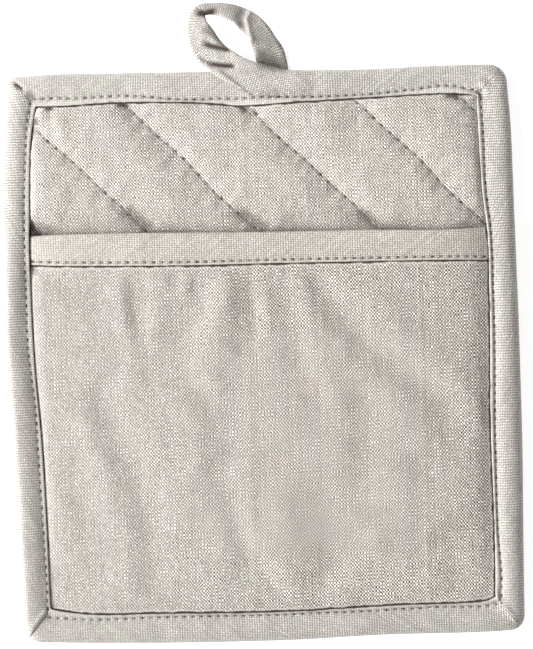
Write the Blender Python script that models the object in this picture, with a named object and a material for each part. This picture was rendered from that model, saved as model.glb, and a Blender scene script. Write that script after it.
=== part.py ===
"""A quilted pot holder with a slip pocket, a bound edge and a hanging loop.

It lies face up on the ground: +Z is up through its face, +Y runs towards the loop, and the origin
is on the ground under the middle of its whole length and width.  Every size below is in
millimetres, measured from the middle of the pad, and `finish` turns the finished mesh to metres.
"""
import math
from typing import NamedTuple

import bmesh
import bpy
import numpy as np
from mathutils import Vector

MM = 0.001
FULL_MIDDLE = (-0.63, 13.2)  # middle of the whole outline, loop included, from the pad's middle
GAP = 0.4  # air between two layers of cloth that touch


class Side(NamedTuple):
    """How far out one side of the pad lies at a place along it."""

    at: float
    edge: float  # outermost line of the binding
    seam: float  # inner fold of the binding, where it meets the face


LEFT = (
    Side(-111.7, 98.8, 88.3),
    Side(-96, 99.4, 88.5),
    Side(-64, 100.3, 89.0),
    Side(-32, 101.3, 90.0),
    Side(0, 102.7, 92.0),
    Side(32, 103.0, 92.6),
    Side(64, 102.7, 92.1),
    Side(88, 101.3, 91.0),
    Side(113.4, 99.2, 89.2),
)
RIGHT = (
    Side(-112.3, 100.5, 88.6),
    Side(-80, 100.9, 89.4),
    Side(-32, 101.7, 89.5),
    Side(16, 101.6, 90.7),
    Side(47, 101.2, 90.4),
    Side(64, 101.1, 88.5),
    Side(88, 100.8, 87.6),
    Side(113.0, 99.6, 87.2),
)
BOTTOM = (
    Side(-98.8, 111.7, 98.8),
    Side(-72, 112.6, 101.8),
    Side(-48, 113.3, 102.3),
    Side(0, 113.8, 103.0),
    Side(50, 112.7, 101.8),
    Side(80, 112.9, 101.5),
    Side(100.5, 112.3, 99.3),
)
TOP = (
    Side(-99.2, 113.4, 101.2),
    Side(-80, 114.1, 100.9),
    Side(-56, 113.8, 101.6),
    Side(-20, 113.4, 100.4),
    Side(-6, 113.2, 98.9),
    Side(16, 112.8, 99.8),
    Side(44, 112.5, 100.7),
    Side(72, 113.1, 101.5),
    Side(99.6, 113.0, 100.1),
)


class Corner(NamedTuple):
    """Where two sides meet: the square corner of the edge, that of the seam, and the rounding."""

    x: float
    y: float
    seam_x: float
    seam_y: float
    radius: float


CORNERS = (
    Corner(-98.8, -111.7, -88.3, -98.8, 7.0),
    Corner(100.5, -112.3, 88.6, -99.3, 6.0),
    Corner(99.6, 113.0, 87.2, 100.1, 7.5),
    Corner(-99.2, 113.4, -89.2, 101.2, 3.5),
)


class Stack(NamedTuple):
    """Heights of the binding's layers at a place along a side."""

    at: float
    base: float  # underside of the lower leg
    leg: float  # thickness of the lower leg
    roof: float  # underside of the upper leg
    crown: float  # top of the plump outer part


OPEN_STACK = Stack(0, 0.0, 0.9, 4.1, 6.0)
POCKET_STACK = Stack(0, 0.0, 0.9, 5.9, 7.3)
MOUTH_STACK = Stack(0, 0.0, 0.9, 7.2, 8.2)
LOOP_STACKS = (
    OPEN_STACK._replace(at=-8.0),
    Stack(-2.0, 2.0, 0.6, 4.7, 5.9),
    Stack(14.1, 2.0, 0.6, 4.7, 5.9),
    Stack(14.9, 2.0, 0.6, 4.7, 7.4),
    Stack(21.0, 0.0, 0.9, 4.1, 7.2),
    OPEN_STACK._replace(at=48.0),
)


class Rim(NamedTuple):
    """A point of the binding's round outer part, in shares of its width and of its height."""

    across: float
    height: float


RIM_ABOVE = (Rim(0.0, 0.5), Rim(0.06, 0.8), Rim(0.19, 0.96), Rim(0.42, 1.0))
RIM_BELOW = (Rim(0.19, 0.0), Rim(0.06, 0.2))
BODY_ACROSS = 0.66  # where the round part starts to fall towards the stitching
GROOVE_INSET = 2.0  # the stitched groove, from the seam
GROOVE_RISE = 0.75  # its height above the upper leg's underside
LIP_INSET = 1.0
LIP_RISE = 1.0
FOLD_RISE = 0.7
FOLD_ROUND = 0.25
STATION_PITCH = 8.5
CORNER_STEPS = 6
CORNER_ZONE = 22.0  # length of each side in which its cross-sections turn towards the mitre
MITRE_DIP = 0.5
NOSE_WALL = 2.2  # cloth between the outermost line and the pad's rim
RIM_INSET = 2.8  # the pad's rim, from the outermost line

QUILT_PITCH = 31.2
QUILT_FIRST = 3.0  # distance of the first stitched line from the pad's middle
QUILT_CUTS = (-7.0, -2.0, 0.0, 2.0, 7.0, QUILT_PITCH / 2)
QUILT_LINES = 5  # on each side of the first
QUILT_FALL = 3.2  # width over which a channel falls to its stitched line
CROSS_PITCH = 18.0
CROWN_OPEN = 7.6
CROWN_POCKET = 6.6
CHANNEL_TOP = 4.8
CHANNEL_LIFT = 1.9  # height of the stitched line above the ground, underneath
CHANNEL_FOOT = 6.5  # half width of the channel, underneath
TOP_RISE = (18.0, 12.0)  # distance from the seam to the full height, in the pocket and above it
FOOT_RISE = 8.0
BARE_START = 4.0  # from the mouth upwards, where the pad starts to swell
BARE_RISE = 8.0
PAD_RINGS = (4.0, 9.0)
MERGE = 0.05  # joins the ring points that meet in a corner
CUT_SNAP = 0.6  # a cut runs through the corners that it passes this close to


class Mouth(NamedTuple):
    """Where the pocket's mouth tape lies at a place across the pad."""

    at: float
    low: float  # lower edge
    top: float  # folded edge


MOUTH = (
    Mouth(-96, 38.0, 49.4),
    Mouth(-80, 37.2, 49.7),
    Mouth(-60, 36.6, 49.6),
    Mouth(-30, 35.9, 49.0),
    Mouth(0, 35.8, 48.4),
    Mouth(45, 35.4, 47.9),
    Mouth(72, 35.1, 47.2),
    Mouth(96, 34.5, 48.0),
)
MOUTH_TUCK = 3.5  # how far its ends run under the side bindings
MOUTH_MARGIN = 1.5  # how far past its two edges they lift those bindings
MOUTH_FALL = Mouth(0, 5.5, 8.5)  # length over which the lifted bindings settle, below and above it
MOUTH_FLOOR = (4.1, 7.1)  # underside of the back leg, at the ends and in the middle
MOUTH_LEG = (0.6, 0.8)
MOUTH_AIR = (0.5, 0.55)  # between each leg and the panel
MOUTH_CLOTH = 0.6  # thickness of the panel, pressed between the legs
MOUTH_STEPS = 24
MOUTH_NOSE = 1.7  # cloth of its fold, above the panel's upper edge
MOUTH_ROUND = 3.0
MOUTH_GROOVE = 1.7  # its stitched groove, from its lower edge
MOUTH_BACK = 0.5  # how much shorter its back leg is
MOUTH_END_STEPS = (0.5, 1.5)  # closer cross-sections where its ends climb out of the seams

FACE_HALF = 88.0  # half the face's width, where those passes start
PANEL_TUCK = 3.5
PANEL_SHORT = 2.5  # from the top of the mouth tape down to the upper edge inside it
PANEL_SEAM = 4.3  # underside of the panel at the seams
PANEL_REST = 8.0  # underside of the panel over the pad
DEEPEST_TROUGH = -0.9
PANEL_THICK = 1.0
PANEL_RISE = 12.0
PANEL_HANG = (6.0, 18.0)  # distance below the mouth tape over which it settles, at ends and middle
PANEL_SWELL = 4.0  # distance below the mouth tape over which it swells to its full thickness
PANEL_COLUMNS = 30
PANEL_ROWS = 22
PANEL_MOUTH_ROWS = 3
PANEL_PASSES = 3  # each brings a grid point's two places into step


class Fold(NamedTuple):
    """A soft ridge, or a trough where its height is negative, along a straight line."""

    x0: float
    y0: float
    x1: float
    y1: float
    width: float
    height: float


FOLDS = (
    Fold(-49, 33, -53, 4, 5.0, -0.9),
    Fold(-61, 30, -62, 6, 6.0, 0.9),
    Fold(-24, 33, -27, -8, 6.0, 1.3),
    Fold(-27, -8, -20, -40, 6.0, 1.0),
    Fold(-11, 34, -11, 4, 4.5, -0.9),
    Fold(-2, 32, 0, 16, 6.0, 1.0),
    Fold(14, 34, 28, 8, 5.0, -0.9),
    Fold(27, 33, 80, -36, 7.0, 1.3),
    Fold(14, 9, 25, -42, 8.0, 0.9),
    Fold(48, -2, 72, -30, 6.0, -0.9),
    Fold(-29, -12, -15, -76, 6.0, -0.9),
    Fold(-14, -44, 2, -94, 7.0, 0.9),
    Fold(-74, -10, -65, -58, 5.0, -0.7),
    Fold(-76, -36, -72, -66, 5.0, 0.8),
    Fold(-60, -46, -52, -88, 5.0, -0.7),
    Fold(14, -56, 12, -94, 6.0, -0.6),
)


class Turn(NamedTuple):
    """A cross-section of the hanging loop's tape."""

    x: float
    y: float
    z: float
    roll: float  # degrees: 0 lies face up, 90 stands on its edge, 180 lies face down
    width: float
    thick: float


LOOP = (
    Turn(13.2, 106.4, 7.0, 0, 12.3, 1.3),
    Turn(6.0, 108.0, 7.0, 0, 12.3, 1.3),
    Turn(-1.4, 110.6, 7.0, 0, 12.0, 1.4),
    Turn(-7.5, 113.7, 7.0, 0, 11.0, 1.6),
    Turn(-13.2, 117.4, 6.6, 4, 10.5, 1.8),
    Turn(-18.2, 122.0, 5.8, 14, 10.5, 1.8),
    Turn(-21.8, 128.0, 5.2, 32, 10.5, 1.8),
    Turn(-23.2, 133.0, 5.3, 58, 10.5, 1.8),
    Turn(-22.2, 136.6, 5.6, 76, 10.5, 1.8),
    Turn(-18.4, 138.2, 5.7, 84, 10.5, 1.8),
    Turn(-12.7, 137.9, 5.5, 110, 10.5, 1.8),
    Turn(-7.0, 135.2, 4.9, 130, 10.5, 1.8),
    Turn(-2.4, 131.0, 4.8, 132, 10.5, 1.8),
    Turn(0.9, 127.3, 4.7, 134, 10.5, 1.8),
    Turn(3.0, 123.4, 3.9, 150, 10.8, 1.8),
    Turn(5.0, 119.4, 2.3, 171, 11.6, 1.6),
    Turn(6.4, 113.6, 0.8, 180, 12.0, 1.6),
    Turn(7.0, 108.6, 0.8, 180, 12.0, 1.6),
    Turn(7.2, 104.2, 0.8, 180, 12.0, 1.6),
)
LOOP_STEPS = 3  # cross-sections from one row to the next
LOOP_BEVEL = 0.35

SHARP_ANGLE = math.radians(60)
CLOTH_FACE = (0.61, 0.57, 0.51)
CLOTH_POCKET = (0.56, 0.52, 0.46)
CLOTH_TAPE = (0.58, 0.55, 0.49)


class Section(NamedTuple):
    """A cross-section of the binding: its line in plan and the heights of its layers."""

    outer: Vector
    inner: Vector
    stack: Stack


def clear_scene():
    """Remove whatever the file holds before the model is made."""
    for item in list(bpy.data.objects):
        bpy.data.objects.remove(item, do_unlink=True)


def ease(share):
    """Go from 0 to 1 with level ends."""
    share = min(max(share, 0.0), 1.0)
    return share * share * (3.0 - 2.0 * share)


def mix(start, end, share):
    """Read a value between two ends."""
    return start + (end - start) * share


def curve(places, values, at):
    """Read a smooth curve through values at their places, one that never runs past them."""
    at = min(max(at, places[0]), places[-1])
    steps = np.diff(values) / np.diff(places)
    turns = steps[:-1] * steps[1:] > 0
    slopes = [0.0, *np.where(turns, (steps[:-1] + steps[1:]) / 2, 0.0), 0.0]
    low = min(int(np.searchsorted(places, at, side="right")) - 1, len(places) - 2)
    span = places[low + 1] - places[low]
    t = (at - places[low]) / span
    start = values[low] * (1 + 2 * t) + slopes[low] * span * t
    end = values[low + 1] * (3 - 2 * t) + slopes[low + 1] * span * (t - 1)
    return float(start * (1 - t) ** 2 + end * t * t)


def along(rows, at, column):
    """Read a column between a table's rows."""
    return curve([row.at for row in rows], [getattr(row, column) for row in rows], at)


def stack_at(stacks, at):
    """Read a table of stacks at a place, on straight lines between its rows."""
    places = [row.at for row in stacks]
    return Stack(*(float(np.interp(at, places, column)) for column in zip(*stacks)))


def side_stacks(across):
    """Heights along a side binding, lifted where it holds the mouth tape's end."""
    low, top = along(MOUTH, across, "low"), along(MOUTH, across, "top")
    return (
        POCKET_STACK._replace(at=low - MOUTH_MARGIN - MOUTH_FALL.low),
        MOUTH_STACK._replace(at=low - MOUTH_MARGIN),
        MOUTH_STACK._replace(at=top + MOUTH_MARGIN),
        OPEN_STACK._replace(at=top + MOUTH_MARGIN + MOUTH_FALL.top),
    )


class Edge:
    """One side of the binding, from one corner to the next, counter-clockwise."""

    def __init__(self, rows, stacks, axis, outward, first, last):
        self.rows, self.stacks, self.axis, self.outward = rows, stacks, axis, outward
        self.start, self.end = first[axis], last[axis]
        self.seam_start, self.seam_end = first[2 + axis], last[2 + axis]
        self.forward = math.copysign(1.0, self.end - self.start)
        self.radii = (first.radius, last.radius)

    def point(self, at, column):
        """A point on the outermost line or on the seam."""
        away = self.outward * along(self.rows, at, column)
        return Vector((away, at)) if self.axis else Vector((at, away))

    def seam_place(self, at):
        """Where on the seam a cross-section ends, turned towards the mitre near a corner."""
        for corner, seam, into in (
            (self.start, self.seam_start, self.forward),
            (self.end, self.seam_end, -self.forward),
        ):
            if abs(at - corner) < CORNER_ZONE:
                return mix(seam, corner + into * CORNER_ZONE, abs(at - corner) / CORNER_ZONE)
        return at

    def section(self, at):
        """The cross-section that starts at a place on the outermost line."""
        inner = self.point(self.seam_place(at), "seam")
        return Section(self.point(at, "edge"), inner, stack_at(self.stacks, at))

    def sections(self):
        """The cross-sections between the two rounded corners, both ends included."""
        first = self.start + self.forward * self.radii[0]
        last = self.end - self.forward * self.radii[1]
        steps = round(abs(last - first) / STATION_PITCH)
        marks = [row.at for row in self.stacks if min(first, last) < row.at < max(first, last)]
        places = [mix(first, last, step / steps) for step in range(1, steps)]
        places = [at for at in places if all(abs(at - mark) > STATION_PITCH / 3 for mark in marks)]
        places = sorted(places + marks, reverse=self.forward < 0)
        return [self.section(at) for at in [first, *places, last]]


def corner_sections(last, first, corner):
    """Cross-sections that fan round a corner, sunk at the mitre in their middle."""
    inward = Vector((math.copysign(corner.radius, corner.x), math.copysign(corner.radius, corner.y)))
    centre = Vector((corner.x, corner.y)) - inward
    seam_corner = Vector((corner.seam_x, corner.seam_y))
    sections = []
    for step in range(1, CORNER_STEPS):
        share = step / CORNER_STEPS
        angle = share * math.pi / 2
        outer = centre + (last.outer - centre) * math.cos(angle)
        outer += (first.outer - centre) * math.sin(angle)
        if share < 0.5:
            inner = last.inner.lerp(seam_corner, share * 2)
        else:
            inner = seam_corner.lerp(first.inner, share * 2 - 1)
        dip = MITRE_DIP if step * 2 == CORNER_STEPS else 0.0
        sections.append(Section(outer, inner, last.stack._replace(crown=last.stack.crown - dip)))
    return sections


def perimeter():
    """Every cross-section of the binding, once round from the lower left corner."""
    edges = (
        Edge(BOTTOM, (POCKET_STACK, POCKET_STACK._replace(at=1.0)), 0, -1, CORNERS[0], CORNERS[1]),
        Edge(RIGHT, side_stacks(RIGHT[0].edge), 1, 1, CORNERS[1], CORNERS[2]),
        Edge(TOP, LOOP_STACKS, 0, 1, CORNERS[2], CORNERS[3]),
        Edge(LEFT, side_stacks(-LEFT[0].edge), 1, -1, CORNERS[3], CORNERS[0]),
    )
    runs = [edge.sections() for edge in edges]
    sections = []
    for index, run in enumerate(runs):
        following = runs[(index + 1) % len(runs)]
        corner = CORNERS[(index + 1) % len(CORNERS)]
        sections += run + corner_sections(run[-1], following[0], corner)
    return sections


def inside(x, y):
    """Distance of a point from the nearest seam, negative under the binding."""
    return min(
        x + along(LEFT, y, "seam"),
        along(RIGHT, y, "seam") - x,
        y + along(BOTTOM, x, "seam"),
        along(TOP, x, "seam") - y,
    )


def shrink(point, inset):
    """Move a point into the area that lies a distance inside all four seams."""
    y = max(point.y, inset - along(BOTTOM, point.x, "seam"))
    y = min(y, along(TOP, point.x, "seam") - inset)
    x = max(point.x, inset - along(LEFT, y, "seam"))
    x = min(x, along(RIGHT, y, "seam") - inset)
    return Vector((x, y))


def quilt_distance(x, y):
    """Distance of a point from the nearest stitched line of the quilting."""
    offset = (x + y) / math.sqrt(2) - QUILT_FIRST + QUILT_PITCH / 2
    return abs(offset % QUILT_PITCH - QUILT_PITCH / 2)


def pad_rim(x, y):
    """Underside and top of the pad's pressed rim, under the binding."""
    stack = stack_at(LOOP_STACKS, x) if y > 0 else OPEN_STACK
    return stack.base + stack.leg + GAP, stack.roof - GAP


def pad_top(x, y):
    """Height of the pad's upper face."""
    bared = ease((y - along(MOUTH, x, "top") - BARE_START) / BARE_RISE)
    crown = mix(CROWN_POCKET, CROWN_OPEN, bared)
    rise = ease(inside(x, y) / mix(*TOP_RISE, bared))
    rim = pad_rim(x, y)[1]
    dip = (crown - CHANNEL_TOP) * math.exp(-quilt_distance(x, y) / QUILT_FALL)
    return rim + (crown - rim - dip) * rise


def pad_foot(x, y):
    """Height of the pad's underside, flat on the ground but for its rim and its channels."""
    rise = ease(inside(x, y) / FOOT_RISE)
    lift = CHANNEL_LIFT * (1.0 - ease(quilt_distance(x, y) / CHANNEL_FOOT))
    return mix(pad_rim(x, y)[0], lift, rise)


def new_loop(mesh, points):
    """Make a closed loop of edges through plan points."""
    verts = [mesh.verts.new((point.x, point.y, 0.0)) for point in points]
    return [mesh.edges.new((vert, verts[index - 1])) for index, vert in enumerate(verts)]


def plan_faces(sections):
    """The pad in plan: rings of faces along its rim and one face across its middle."""
    mesh = bmesh.new()
    rim = [item.outer + (item.inner - item.outer).normalized() * RIM_INSET for item in sections]
    rings = [[item.inner for item in sections]]
    rings += [[shrink(item.inner, inset) for item in sections] for inset in PAD_RINGS]
    edges = new_loop(mesh, rim)
    verts = list(mesh.verts)
    for ring in rings:
        grown = bmesh.ops.extrude_edge_only(mesh, edges=edges)["geom"]
        edges = [item for item in grown if isinstance(item, bmesh.types.BMEdge)]
        fresh = {item for item in grown if isinstance(item, bmesh.types.BMVert)}
        edges = [edge for edge in edges if set(edge.verts) <= fresh]
        verts = [next(e.other_vert(v) for e in v.link_edges if e.other_vert(v) in fresh) for v in verts]
        for vert, point in zip(verts, ring):
            vert.co = (point.x, point.y, 0.0)
    bmesh.ops.contextual_create(mesh, geom=edges)
    bmesh.ops.remove_doubles(mesh, verts=mesh.verts, dist=MERGE)
    return mesh


def cut(mesh, place, normal):
    """Cut every face of a mesh along a plane."""
    geometry = [*mesh.verts, *mesh.edges, *mesh.faces]
    bmesh.ops.bisect_plane(mesh, geom=geometry, dist=CUT_SNAP, plane_co=place, plane_no=normal)


def make_pad(sections):
    """The filled pad, with a crown between each two stitched lines on both faces."""
    mesh = plan_faces(sections)
    across = Vector((1, 1, 0)).normalized()
    down = Vector((1, -1, 0)).normalized()
    for line in range(-QUILT_LINES, QUILT_LINES + 1):
        for offset in QUILT_CUTS:
            cut(mesh, across * (QUILT_FIRST + line * QUILT_PITCH + offset), across)
    reach = math.ceil(LEFT[4].edge * math.sqrt(2) / CROSS_PITCH)
    for step in range(-reach, reach + 1):
        cut(mesh, down * step * CROSS_PITCH, down)
    bmesh.ops.triangulate(mesh, faces=mesh.faces)
    thicken(mesh, pad_foot, pad_top)
    finish(mesh, "quilted_pad", CLOTH_FACE)


def thicken(mesh, foot, top):
    """Turn flat faces into a closed solid between two height functions."""
    grown = bmesh.ops.extrude_face_region(mesh, geom=mesh.faces, use_keep_orig=True)["geom"]
    upper = {item for item in grown if isinstance(item, bmesh.types.BMVert)}
    for vert in mesh.verts:
        height = top if vert in upper else foot
        vert.co.z = height(vert.co.x, vert.co.y)


def fold_height(x, y):
    """Height that the soft folds add to the panel at a point."""
    total = 0.0
    for fold in FOLDS:
        run = Vector((fold.x1 - fold.x0, fold.y1 - fold.y0))
        from_start = Vector((x - fold.x0, y - fold.y0))
        share = min(max(from_start.dot(run) / run.length_squared, 0.0), 1.0)
        away = (from_start - run * share).length / fold.width
        total += fold.height * math.exp(-away * away * 2.0)
    return max(total, DEEPEST_TROUGH)


def mouth_end(x):
    """Go from 0 where the mouth tape is tucked in to 1 where it lies over the pad."""
    low = along(MOUTH, x, "low")
    return ease(min(x + along(LEFT, low, "seam"), along(RIGHT, low, "seam") - x) / PANEL_RISE)


def panel_foot(x, y):
    """Height of the panel's underside."""
    near = inside(x, y)
    rise = ease(near / PANEL_RISE)
    level = mix(PANEL_SEAM, PANEL_REST, rise) + fold_height(x, y) * rise
    end = mouth_end(x)
    held = sum(mix(*layer, end) for layer in (MOUTH_FLOOR, MOUTH_LEG, MOUTH_AIR))
    return mix(held, level, ease((along(MOUTH, x, "low") - y) / mix(*PANEL_HANG, end)))


def panel_top(x, y):
    """Height of the panel's upper face, pressed thin between the mouth tape's legs."""
    below = along(MOUTH, x, "low") - y
    return panel_foot(x, y) + mix(MOUTH_CLOTH, PANEL_THICK, ease(below / PANEL_SWELL))


def panel_place(index, count, start, end, tucks):
    """Place of a grid line: one on each tucked rim, one on each seam, the others evenly between."""
    if tucks[0] and index < 1:
        return start - tucks[0] * (1 - index)
    if tucks[1] and index > count - 1:
        return end + tucks[1] * (index - count + 1)
    first, last = min(tucks[0], 1), count - min(tucks[1], 1)
    return mix(start, end, (index - first) / (last - first))


def panel_row(row, x):
    """Place across the pad of one of the panel's rows, the last few inside the mouth tape."""
    low, top = along(MOUTH, x, "low"), along(MOUTH, x, "top") - PANEL_SHORT
    if row <= PANEL_ROWS:
        return panel_place(row, PANEL_ROWS, -along(BOTTOM, x, "seam"), low, (PANEL_TUCK, 0))
    return mix(low, top, (row - PANEL_ROWS) / PANEL_MOUTH_ROWS)


def make_panel():
    """The pocket's panel, a sheet held along three sides and by the mouth tape."""
    mesh = bmesh.new()
    rows = PANEL_ROWS + PANEL_MOUTH_ROWS
    bmesh.ops.create_grid(mesh, x_segments=PANEL_COLUMNS, y_segments=rows, size=1.0)
    for vert in mesh.verts:
        column = round((vert.co.x + 1.0) / 2.0 * PANEL_COLUMNS)
        row = round((vert.co.y + 1.0) / 2.0 * rows)
        vert.co.x = mix(-FACE_HALF, FACE_HALF, column / PANEL_COLUMNS)
        for _ in range(PANEL_PASSES):
            vert.co.y = panel_row(row, vert.co.x)
            left, right = -along(LEFT, vert.co.y, "seam"), along(RIGHT, vert.co.y, "seam")
            vert.co.x = panel_place(column, PANEL_COLUMNS, left, right, (PANEL_TUCK, PANEL_TUCK))
    thicken(mesh, panel_foot, panel_top)
    finish(mesh, "pocket_panel", CLOTH_POCKET)


def mouth_profile(x):
    """The mouth tape's cross-section: a strip folded over the panel's upper edge."""
    end = mouth_end(x)
    low, top = along(MOUTH, x, "low"), along(MOUTH, x, "top")
    leg = mix(*MOUTH_LEG, end)
    foot = mix(*MOUTH_FLOOR, end)
    back = foot + leg
    front = back + MOUTH_CLOTH + 2 * mix(*MOUTH_AIR, end)
    crown = front + leg
    fold = top - MOUTH_NOSE
    return (
        (low, crown - FOLD_ROUND),
        (low + MOUTH_GROOVE, crown - FOLD_ROUND),
        (low + 2 * MOUTH_GROOVE, crown),
        (top - MOUTH_ROUND, crown),
        (top - MOUTH_ROUND / 4, mix(front, crown, 0.3)),
        (top, (foot + crown) / 2),
        (top - MOUTH_ROUND / 4, mix(back, foot, 0.3)),
        (top - MOUTH_ROUND, foot),
        (low + MOUTH_BACK, foot),
        (low + MOUTH_BACK, back),
        (fold, back),
        (fold, front),
        (low, front),
    )


def loft(mesh, profiles, closed):
    """Extrude a loop of edges through profiles, then close it or cap both its ends."""
    verts = [mesh.verts.new(point) for point in profiles[0]]
    first = [mesh.edges.new((vert, verts[index - 1])) for index, vert in enumerate(verts)]
    edges = first
    for profile in profiles[1:]:
        grown = bmesh.ops.extrude_edge_only(mesh, edges=edges)["geom"]
        fresh = {item for item in grown if isinstance(item, bmesh.types.BMVert)}
        edges = [e for e in grown if isinstance(e, bmesh.types.BMEdge) and set(e.verts) <= fresh]
        verts = [next(e.other_vert(v) for e in v.link_edges if e.other_vert(v) in fresh) for v in verts]
        for vert, point in zip(verts, profile):
            vert.co = point
    if closed:
        bmesh.ops.bridge_loops(mesh, edges=first + edges)
    else:
        bmesh.ops.contextual_create(mesh, geom=first)
        bmesh.ops.contextual_create(mesh, geom=edges)


def make_mouth():
    """The tape that binds the pocket's mouth, its ends tucked under the side bindings."""
    left = -along(LEFT, MOUTH[0].low, "seam") - MOUTH_TUCK
    right = along(RIGHT, MOUTH[-1].low, "seam") + MOUTH_TUCK
    places = [mix(left, right, step / MOUTH_STEPS) for step in range(MOUTH_STEPS + 1)]
    for step in MOUTH_END_STEPS:
        places += [mix(left, right, step / MOUTH_STEPS), mix(right, left, step / MOUTH_STEPS)]
    mesh = bmesh.new()
    loft(mesh, [[(x, y, z) for y, z in mouth_profile(x)] for x in sorted(places)], closed=False)
    finish(mesh, "pocket_binding", CLOTH_TAPE)


def binding_profile(section):
    """The edge binding's cross-section: a strip folded round the pad's rim."""
    across = section.inner - section.outer
    width = across.length
    _, base, leg, roof, crown = section.stack
    tall = crown - base
    points = [(rim.across * width, base + rim.height * tall) for rim in RIM_ABOVE]
    points += [
        (BODY_ACROSS * width, mix(roof + LIP_RISE, crown, 0.7)),
        (width - GROOVE_INSET, roof + GROOVE_RISE),
        (width - LIP_INSET, roof + LIP_RISE),
        (width - FOLD_ROUND / 2, roof + FOLD_RISE),
        (width, roof),
        (NOSE_WALL, roof),
        (NOSE_WALL, base + leg),
        (width, base + leg),
        (width, base + FOLD_ROUND),
        (width - FOLD_ROUND * 2, base),
    ]
    points += [(rim.across * width, base + rim.height * tall) for rim in RIM_BELOW]
    step = across / width
    return [(*(section.outer + step * away), height) for away, height in points]


def make_binding(sections):
    """The binding round all four sides, mitred at its corners."""
    mesh = bmesh.new()
    loft(mesh, [binding_profile(section) for section in sections], closed=True)
    finish(mesh, "edge_binding", CLOTH_TAPE)


def loop_turns():
    """Cross-sections of the loop, with more between the rows of its table."""
    places = range(len(LOOP))
    fine = np.linspace(0, len(LOOP) - 1, (len(LOOP) - 1) * LOOP_STEPS + 1)
    return [Turn(*(curve(places, column, at) for column in zip(*LOOP))) for at in fine]


def make_loop():
    """The hanging loop: the binding's tail, turned back with its end under the top edge."""
    turns = loop_turns()
    middles = [Vector(turn[:3]) for turn in turns]
    profiles = []
    for index, turn in enumerate(turns):
        ahead, behind = middles[min(index + 1, len(turns) - 1)], middles[max(index - 1, 0)]
        travel = (ahead - behind).normalized()
        outward = Vector((-travel.y, travel.x, 0)).normalized()
        roll = math.radians(turn.roll)
        flat = outward * math.cos(roll) + Vector((0, 0, 1)) * math.sin(roll)
        up = flat.cross(travel) * -1.0
        half, thin = turn.width / 2, turn.thick / 2
        corner = min(LOOP_BEVEL, thin / 2)
        outline = (
            (-half, -thin + corner), (-half + corner * 2, -thin),
            (half - corner * 2, -thin), (half, -thin + corner),
            (half, thin - corner), (half - corner * 2, thin),
            (-half + corner * 2, thin), (-half, thin - corner),
        )
        profiles.append([middles[index] + flat * wide + up * high for wide, high in outline])
    mesh = bmesh.new()
    loft(mesh, profiles, closed=False)
    finish(mesh, "hanging_loop", CLOTH_TAPE)


def cloth(name, colour):
    """A plain matt cloth."""
    material = bpy.data.materials.new(name)
    material.use_nodes = True
    shader = material.node_tree.nodes["Principled BSDF"]
    shader.inputs["Base Color"].default_value = (*colour, 1.0)
    shader.inputs["Roughness"].default_value = 0.95
    shader.inputs["Metallic"].default_value = 0.0
    return material


def finish(mesh, name, colour):
    """Make a named object of a mesh, in metres and about the origin."""
    middle = Vector((*FULL_MIDDLE, 0.0))
    bmesh.ops.translate(mesh, verts=mesh.verts, vec=-middle)
    bmesh.ops.scale(mesh, verts=mesh.verts, vec=(MM, MM, MM))
    bmesh.ops.recalc_face_normals(mesh, faces=mesh.faces)
    data = bpy.data.meshes.new(name)
    mesh.to_mesh(data)
    mesh.free()
    data.shade_smooth()
    data.set_sharp_from_angle(angle=SHARP_ANGLE)
    data.materials.append(cloth(name + "_cloth", colour))
    bpy.context.scene.collection.objects.link(bpy.data.objects.new(name, data))


def main():
    """Build the five sewn pieces."""
    clear_scene()
    sections = perimeter()
    make_pad(sections)
    make_panel()
    make_mouth()
    make_binding(sections)
    make_loop()


main()
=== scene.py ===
"""A quilted pocket pot holder in oatmeal chambray, lying face up on a pale floor.

Every table and size is in millimetres from the middle of the pot holder's body, +X to the right and
+Y towards the hanging loop. `Workroom.hang` turns a finished piece to metres in the frame's own axes.
"""
import logging
import math
from abc import ABC, abstractmethod
from dataclasses import dataclass, field
from enum import Enum
from typing import NamedTuple, Sequence

import bmesh
import bpy
import numpy as np
from mathutils import Matrix, Vector

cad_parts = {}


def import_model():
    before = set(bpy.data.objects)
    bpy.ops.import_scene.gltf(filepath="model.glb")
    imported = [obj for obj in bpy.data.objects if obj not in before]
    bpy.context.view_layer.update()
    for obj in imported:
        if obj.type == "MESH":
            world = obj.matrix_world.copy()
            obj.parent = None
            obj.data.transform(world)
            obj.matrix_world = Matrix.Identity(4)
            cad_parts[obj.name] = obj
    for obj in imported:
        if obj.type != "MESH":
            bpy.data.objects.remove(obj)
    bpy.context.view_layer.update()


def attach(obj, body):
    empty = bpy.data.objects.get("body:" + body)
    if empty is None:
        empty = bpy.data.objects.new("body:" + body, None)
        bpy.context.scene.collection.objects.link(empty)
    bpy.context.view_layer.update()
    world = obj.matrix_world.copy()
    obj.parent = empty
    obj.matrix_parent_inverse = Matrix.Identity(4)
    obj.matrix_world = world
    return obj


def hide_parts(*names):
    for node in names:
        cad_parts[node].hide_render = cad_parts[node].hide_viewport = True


LOG = logging.getLogger("pot_holder")
Array = np.ndarray
Socket = bpy.types.NodeSocket

MM = 0.001
FULL_MIDDLE = (-0.63, 13.2)  # middle of the whole outline, loop included
WAVES = 7  # waves in one ripple
BARE_FROM = 46.0  # above this a side lies beside the bare pad, below it beside the pocket
EDGE_STITCH = 3.35  # needle hole to needle hole in the edge binding
MOUTH_STITCH = 3.45


def ease(share: Array) -> Array:
    """Go from 0 to 1 with level ends."""
    share = np.clip(share, 0.0, 1.0)
    return share * share * (3.0 - 2.0 * share)


def mix(start: Array, end: Array, share: Array) -> Array:
    """Read a value between two ends."""
    return start + (end - start) * share


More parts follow.
